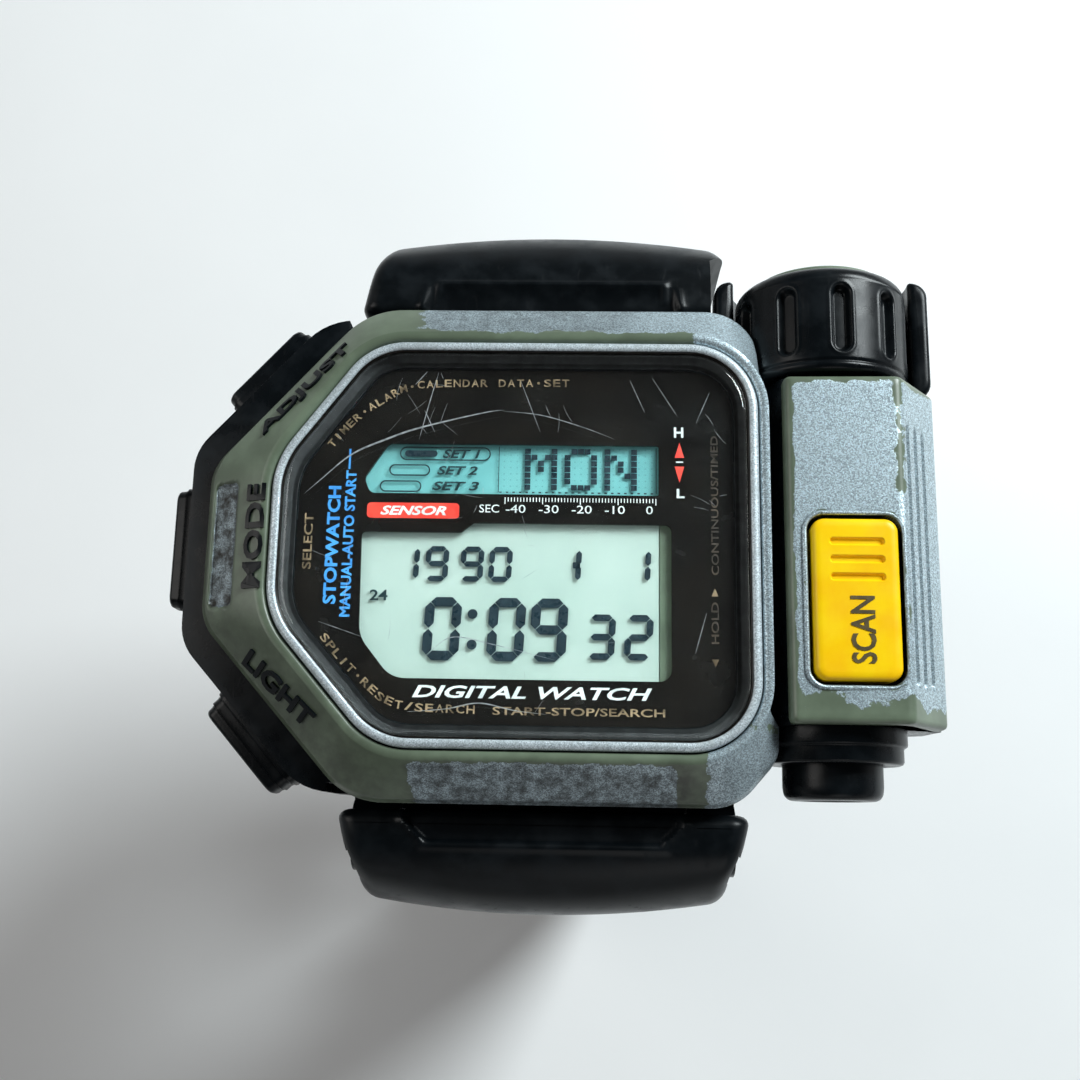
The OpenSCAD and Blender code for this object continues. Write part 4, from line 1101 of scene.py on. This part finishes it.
def side_button_piece(name):
    """A pusher with two stepped lines around its head, on its stem."""
    angle, offset, length, out, clip = SIDE[name]
    bm = bmesh.new()
    turn = Matrix.Rotation(math.radians(angle), 4, "Z") @ Matrix.Translation((0, offset, 5.2))
    for axis in "XY":
        turn = turn @ Matrix.Rotation(math.radians(90), 4, axis)
    rings = []
    for inset, far in ((0.2, 24.3), (0.0, 24.5), (0.0, 26.2), (0.05, 26.3), (0.22, 26.34), (0.22, 26.52),
                       (0.26, 26.6), (0.26, 27.1), (0.42, 27.15), (0.42, 27.3), (0.46, 27.36),
                       (0.48, 27.7), (0.56, 27.86), (0.72, 27.96), (0.95, 28.0)):
        outline = pill(0, 0, length - 2 * inset, 3.6 - 2 * inset * 0.8, max(1.0 - inset * 0.5, 0.4), 8)
        rings.append([tuple(turn @ Vector((x, y, far + out))) for x, y in outline])
    loft_into(bm, rings)
    a = np.arange(32) / 32 * TAU
    for r, z0, z1 in ((1.0, clip + 0.4, 24.4 + out), (0.72, clip, clip + 0.42), (1.0, clip - 0.4, clip)):
        loft_into(bm, [[tuple(turn @ Vector((r * math.cos(t), r * math.sin(t), z))) for t in a]
                       for z in (z0, z1)])
    return from_bmesh(name + "_piece", bm, 50)


# ---------------------------------------------------------------- strap
SHORT_AT, LONG_AT, SHOULDER_R = 22.0, 20.7, 6.8
SHOULDER_Z = 0.8
SHORT_R, LONG_R, LONG_BASE = 38.0, 20.0, -60.2     # both bends' radii; height of the long tail's flat
LUG_AXIS = (21.5, 3.5)
HALF_W, END_W, TAIL_W, THICK = 15.6, 14.2, 10.0, 2.7
EDGE_R, INNER_EDGE_R = 1.35, 0.5
COLUMNS = 120     # points across each face of the strap
HOLE_R, HOLE_STEP, HOLE_TURN = 1.1, 6, 20     # adjusting holes: mm apart on the flat, degrees apart in the bend
TIP_L, TIP_W = 8.0, 2.2
END_R, END_DROP = 1.4, 13     # the short half's rounded end, and how far it hangs below its bend


def shoulder_stations(cy):
    """(outer, inner, half width) of each section over the lug, in the upper half's own side."""
    reach_y = cy + SHOULDER_R
    outer = [(19.7, 6.9), (19.8, 7.12), (19.95, 7.3), (20.12, 7.45), (20.3, 7.55), (20.5, 7.6), (20.75, 7.6)]
    outer += [polar(cy, SHOULDER_Z, SHOULDER_R, t) for t in np.linspace(90, 0, 57)]
    count = len(outer)
    out = []
    for i, (y, z) in enumerate(outer):
        s = i / (count - 1)
        if s < 0.6:
            inner = (20.0 + (cy + 2.5 - 20.0) * s / 0.6, 0.85)
        else:
            t = math.radians(90 * (1 - (s - 0.6) / 0.4))
            inner = (cy + 2.5 + 1.4 * math.cos(t), -0.55 + 1.4 * math.sin(t))
        half = HALF_W - (HALF_W - END_W) * float(np.clip((y - 19.8) / (reach_y - 1.2 - 19.8), 0, 1))
        half -= 0.9 - 0.9 * math.sqrt(1 - (1 - float(np.clip((y - 19.68) / 0.9, 0, 1))) ** 2)
        out.append((np.array((y, z)), np.array(inner), half - 0.03))
    return out


def strap_width(z, z0, z1):
    t = float(np.clip((z0 - z) / (z0 - z1), 0, 1))
    return min(HALF_W + (TAIL_W - HALF_W) * t, END_W) - 0.03


def panel_dip(x, y):
    """The shallow panel moulded into the top of the shoulder."""
    side = 10.3 - 1.4 * np.clip((y - 20.6) / 1.3, 0, 1) - np.abs(x)
    depth = np.minimum(side, 22.1 - y)
    return 0.42 * smooth(depth, 0.0, 0.3) - 0.20 * np.exp(-((depth + 0.25) / 0.25) ** 2)


def section(outer, inner, half):
    """One cross-section of the strap: [x, y, z] points around it."""
    outer, inner = np.array(outer), np.array(inner)
    thick = np.linalg.norm(outer - inner)
    up = (outer - inner) / thick
    r, q = min(EDGE_R, thick * 0.55), min(INNER_EDGE_R, thick * 0.3)
    edge = []
    for t in range(12, 91, 13):
        c, s = cos_sin(t)
        edge.append((half - r + r * s, outer - up * r * (1 - c)))
    for t in (0, 30, 60):
        c, s = cos_sin(t)
        edge.append((half - q + q * c, inner + up * q * (1 - s)))
    ring = [(x, outer) for x in np.linspace(-half + r, half - r, COLUMNS)]
    ring += edge
    ring += [(x, inner) for x in np.linspace(half - q, -half + q, COLUMNS)]
    ring += [(-x, p) for x, p in reversed(edge)]
    return np.array([(x, p[0], p[1]) for x, p in ring])


def strap_rings(stations, taper, bow_from):
    """Rings of the strap; its outer end is bowed by up to a millimetre."""
    rings = []
    for outer, inner, *given in stations:
        half = given[0] if given else strap_width(outer[1], *taper)
        ring = section(outer, inner, half)
        share = float(smooth(outer[0], bow_from - 5.5, bow_from) * smooth(outer[1], -30, -6))
        if outer[1] > 0.9:
            top = ring[:COLUMNS]
            top[:, 2] -= panel_dip(top[:, 0], top[:, 1]) * (0.84 if outer[1] < 7.55 else 1.0)
        ring[:, 1] -= share * 1.25 * (ring[:, 0] / 14.2) ** 2
        rings.append(ring)
    return rings


def lug_tools(side):
    """Cutters for the spring bar's hole and for the room around both lugs."""
    tools = [tool_rod(0, -20, 20, (LUG_AXIS[0] * side, LUG_AXIS[1]), 0.95, 48)]
    r, ahead = 3.4, 2.2
    low = math.degrees(math.acos(ahead / r))
    room = [(0.0, -5.0), (LUG_AXIS[0] + ahead, -5.0)] + arc_points(*LUG_AXIS, r, -low, 180, 40)
    room.append((0.0, LUG_AXIS[1]))
    for s in (-1, 1):
        tools.append(loft("tool", [[(s * x, side * y, z) for y, z in room] for x in (10.6, 14.8)]))
    return tools


def strap_12_piece():
    stations = shoulder_stations(SHORT_AT)
    r = SHORT_R
    cy, cz = SHORT_AT + SHOULDER_R - r, SHOULDER_Z
    for t in np.linspace(-3, -70, 58):
        c, s = cos_sin(t)
        thick = THICK + 0.2 * float(smooth(-t, 8, 0))
        stations.append(((cy + r * c, cz + r * s), (cy + (r - thick) * c, cz + (r - thick) * s)))
    c, s = cos_sin(70)
    end, way, normal = np.array(stations[-1][0]), np.array([-s, -c]), np.array([c, -s])
    for d in np.linspace(0.6, END_DROP, 20):
        stations.append((end + way * d, end + way * d - normal * THICK))
    for t in (20, 45, 65, 80):
        c, s = cos_sin(t)
        mid = end + way * (END_DROP + END_R * s) - normal * END_R
        stations.append((mid + normal * END_R * c, mid - normal * END_R * c))
    ob = loft("strap_12_piece", strap_rings(stations, (-2, -26), SHORT_AT + SHOULDER_R), angle=50)
    corner = [(12.9, 10), (12.9, 24.8), (16, 26.8), (20, 26.8), (20, 10)]
    tools = lug_tools(1) + [plates("tool", [(corner, [], -30, 30)])]
    bar_at = end + way * END_DROP - normal * END_R
    tools.append(tool_rod(0, -20, 20, tuple(bar_at), 0.8, 48))
    slot = tool_box((-1.6, -2, -10), (1.6, 5, 10))
    tilt = Matrix.Rotation(math.radians(200), 4, "X")
    slot.data.transform(Matrix.Translation(Vector((0, *bar_at)) * MM) @ tilt)
    return cut(ob, tools + [slot], 50)


def strap_6_piece():
    stations = shoulder_stations(LONG_AT)
    wall, base = LONG_AT + SHOULDER_R, LONG_BASE
    for z in np.linspace(-1.2, -40.2, 43):
        thick = THICK + 0.2 * float(smooth(z, -6, 0))
        stations.append(((wall, z), (wall - thick, z)))
    r = LONG_R
    cy, cz = wall - r, base + r
    for t in np.linspace(0, -90, 40)[1:]:
        c, s = cos_sin(t)
        stations.append(((cy + r * c, cz + r * s), (cy + (r - THICK) * c, cz + (r - THICK) * s)))
    for y in np.linspace(cy, cy - 36, 60)[1:]:
        tip = max(0.0, (cy - 28 - y) / TIP_L)
        half = TAIL_W if tip <= 0 else TIP_W + (TAIL_W - TIP_W) * math.sqrt(max(1 - tip * tip, 0))
        stations.append(((y, base), (y, base + THICK), half))
    rings = strap_rings(stations, (-2, -40), wall)
    for ring in rings:
        ring[:, 1] *= -1
    ob = loft("strap_6_piece", rings, angle=50)
    tools = lug_tools(-1)
    for i in range(5):
        tools.append(tool_rod(2, base - 2, base + 5, (0, -(cy + 2 - HOLE_STEP * i)), HOLE_R, 40))
    for i in (1, 2, 3):
        rod = tool_rod(1, r - 6, r + 2, (0, 0), HOLE_R, 40)
        turn = Matrix.Rotation(math.radians(-90 + HOLE_TURN * i), 4, "X")
        to_bend = Matrix.Translation(Vector((0, cy, cz)) * MM)
        rod.data.transform(Matrix.Scale(-1, 4, (0, 1, 0)) @ to_bend @ turn)
        rod.data.flip_normals()
        tools.append(rod)
    return cut(ob, tools, 50)


# ---------------------------------------------------------------- caseback
def caseback_piece():
    angles = angles_of(glass_outline(1), 0.4)
    steps = ((0.98, 1.18), (1.0, 1.1), (1.0, 0.28), (0.94, 0.12), (0.8, 0.03), (0.62, 0.0), (-1.5, 0.0),
             (-1.56, 0.12), (-1.9, 0.12), (-1.96, 0.0), (-2.4, 0.0), (-2.46, 0.08), (-2.6, 0.08),
             (-2.66, 0.0), (-6.0, 0.0))
    ob = loft("caseback_piece", [around(glass_outline(d), angles, z) for d, z in steps], angle=35)
    tools = []
    for x, y in ((12.6, 12.2), (12.6, -12.2), (-16.6, 4.7), (-16.6, -4.7)):
        tools.append(tool_rod(2, -1, 0.75, (x, y), 1.5, 48))
        tools.append(tool_rod(2, -1, 2, (x, y), 0.85, 48))
    return cut(ob, tools, 35)


# ---------------------------------------------------------------- assembly
HEAD = "watch_head"
bezel = bezel_piece()
bezel_tree = tree_of(bezel)
measure(bezel, "paint", bezel_paint)
# painted shade on the bezel, read by the worn paint material
measure(bezel, "painted_shade", bezel_shade)
place(bezel, HEAD, PAINT, ["bezel"])

labels = bmesh.new()
raised_label(labels, bezel_tree, "ADJUST", -18.72, 11.78, 46.9, 1.2, 9.6, 0.34, 0.03)
raised_label(labels, bezel_tree, "MODE", -21.82, 0.06, 90, 1.45, 8.0, 0.34, 0.03)
raised_label(labels, bezel_tree, "LIGHT", -19.47, -11.21, -43.0, 1.3, 7.1, 0.34, 0.03)
place(from_bmesh("raised_labels", labels), HEAD, BLACK)

place(crystal_piece(), HEAD, CRYSTAL, ["crystal"])
place(ring_piece(), HEAD, RING, ["crystal_ring"])
place(liner_piece(), HEAD, MASK)
place(scratches(), HEAD, SCRATCH)
place(mask_piece(), HEAD, MASK, ["dial_mask"])
segments, outlines, upper, lower, edge = lcd_pieces()
place(segments, HEAD, LCD_INK)
place(outlines, HEAD, LCD_LINE)
place(upper, HEAD, TEAL, ["lcd_panel"])
place(lower, HEAD, GREEN, ["lcd_panel"])
place(edge, HEAD, OLIVE)
for ob, material in dial_prints().values():
    place(ob, HEAD, material)

place(refined("case_body", 0.3), HEAD, BLACK, ["case_body"])
place(refined("tube_body", 0.35), HEAD, BLACK, ["tube_body"])
place(refined("tube_back", 0.12), HEAD, BLACK, ["tube_back"])
place(guard_piece(), HEAD, BLACK, ["sensor_guard"])
place(collar_piece(), HEAD, BLACK, ["tube_collar"])
place(caseback_piece(), HEAD, STEEL, ["caseback"])
cover = cover_piece()
measure(cover, "paint", cover_paint)
# painted shade around the scan button's recess
measure(cover, "painted_shade", cover_shade)
place(cover, HEAD, PAINT, ["tube_cover"])
rim = scan_rim_piece()
measure(rim, "paint", lambda x, y, z: 0.75 + 0 * x)
measure(rim, "painted_shade", lambda x, y, z: 0 * x)
place(rim, HEAD, PAINT)

place(cap_piece(), "sensor_cap", BLACK, ["sensor_cap"])
place(end_ring_piece(), "sensor_cap", OLIVE, ["cap_end_ring"])
place(scan_button_piece(), "scan_button", YELLOW, ["scan_button"])
place(scan_word(), "scan_button", SCAN_SHADE)
place(start_piece(), "start_button", BLACK, ["start_button"])
for name in SIDE:
    place(side_button_piece(name), name, BLACK, [name])

place(strap_12_piece(), "strap_12", STRAP, ["strap_12"])
place(strap_6_piece(), "strap_6", STRAP, ["strap_6"])
place(refined("fixed_keeper", 0.35), "strap_12", STRAP, ["fixed_keeper"])
place(refined("free_keeper", 0.35), "free_keeper", STRAP, ["free_keeper"])
place(refined("buckle_frame", 0.3), "buckle_frame", STEEL, ["buckle_frame"])
place(refined("buckle_tongue", 0.2), "buckle_tongue", STEEL, ["buckle_tongue"])

# CAD parts hidden inside, shown as they are
CARRIED = ((SEAL, "crystal_gasket caseback_gasket side_button_orings tube_oring"),
           (STEEL, "quartz_crystal coin_cells module_screws caseback_screws adjust_clip mode_clip light_clip "
                   "side_button_springs tube_back_screws thermopile scan_spring start_spring spring_bar_12 "
                   "spring_bar_6 buckle_bar"),
           (BRASS, "battery_clip piezo_buzzer"), (BOARD, "circuit_board sensor_board scan_switch_board"),
           (ZEBRA, "lcd_connectors"), (LAMP, "backlight_bulb"), (IVORY, "module_frame"),
           (CHIP, "processor_chip"), (FILM, "flex_cable"), (BARREL, "lens_barrel"), (SILICON, "sensor_lens"))
for material, names in CARRIED:
    for name in names.split():
        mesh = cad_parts[name].data
        mesh.materials.clear()
        mesh.materials.append(material)


# ---------------------------------------------------------------- studio
def floor():
    size, z = 1.6, cad_lo.z - 0.0002
    bm = bmesh.new()
    bmesh.ops.create_grid(bm, x_segments=4, y_segments=4, size=size)
    bmesh.ops.translate(bm, verts=bm.verts, vec=(0, 0, z))
    ob = from_bmesh("floor", bm)
    pale = plain("pale_floor", (0.90, 0.90, 0.90), (0.93, 0.93, 0.93), 60, (0.6, 0.7), 2.0, 0.02)
    ob.data.materials.append(pale)


def lamp(name, place_mm, aim_mm, size, watts, colour=(1, 1, 1)):
    light = bpy.data.lights.new(name, "AREA")
    light.shape, light.size, light.energy, light.color = "DISK", size * MM, watts, colour
    ob = bpy.data.objects.new(name, light)
    ob.location = Vector(place_mm) * MM
    ob.rotation_euler = (Vector(aim_mm) - Vector(place_mm)).to_track_quat("-Z", "Y").to_euler()
    bpy.context.scene.collection.objects.link(ob)


def studio():
    world = bpy.data.worlds.new("studio")
    bpy.context.scene.world = world
    world.use_nodes = True
    nt = world.node_tree
    back = next(n for n in nt.nodes if n.type == "BACKGROUND")
    way = nt.nodes.new("ShaderNodeTexCoord").outputs["Generated"]
    split = nt.nodes.new("ShaderNodeSeparateXYZ")
    nt.links.new(way, split.inputs["Vector"])
    fade = nt.nodes.new("ShaderNodeMapRange")
    nt.links.new(split.outputs["Z"], fade.inputs["Value"])
    for key, value in (("From Min", 0.05), ("From Max", 0.50), ("To Min", 0.55), ("To Max", 0.04)):
        fade.inputs[key].default_value = value
    nt.links.new(fade.outputs["Result"], back.inputs["Strength"])
    back.inputs["Color"].default_value = (0.93, 0.97, 1.0, 1)
    lamp("key", (250, 215, 235), (5, 3, 5), 180, 2.3, (0.90, 0.98, 1.0))
    lamp("fill", (-260, 40, 230), (0, 0, 5), 220, 0.32, (1.0, 0.98, 0.95))
    lamp("low", (60, -280, 150), (0, 0, 5), 160, 0.06, (1.0, 1.0, 1.0))


def camera():
    data = bpy.data.cameras.new("camera")
    data.lens, data.sensor_width, data.clip_start, data.clip_end = 43.67, 36.0, 0.005, 10.0
    ob = bpy.data.objects.new("camera", data)
    ob.location = Vector((2.50, -21.26, 107.12)) * MM
    ob.rotation_euler = [math.radians(t) for t in (12.629, 1.531, 1.050)]
    bpy.context.scene.collection.objects.link(ob)
    bpy.context.scene.camera = ob


floor()
studio()
camera()
bpy.context.scene.view_settings.view_transform = "Standard"
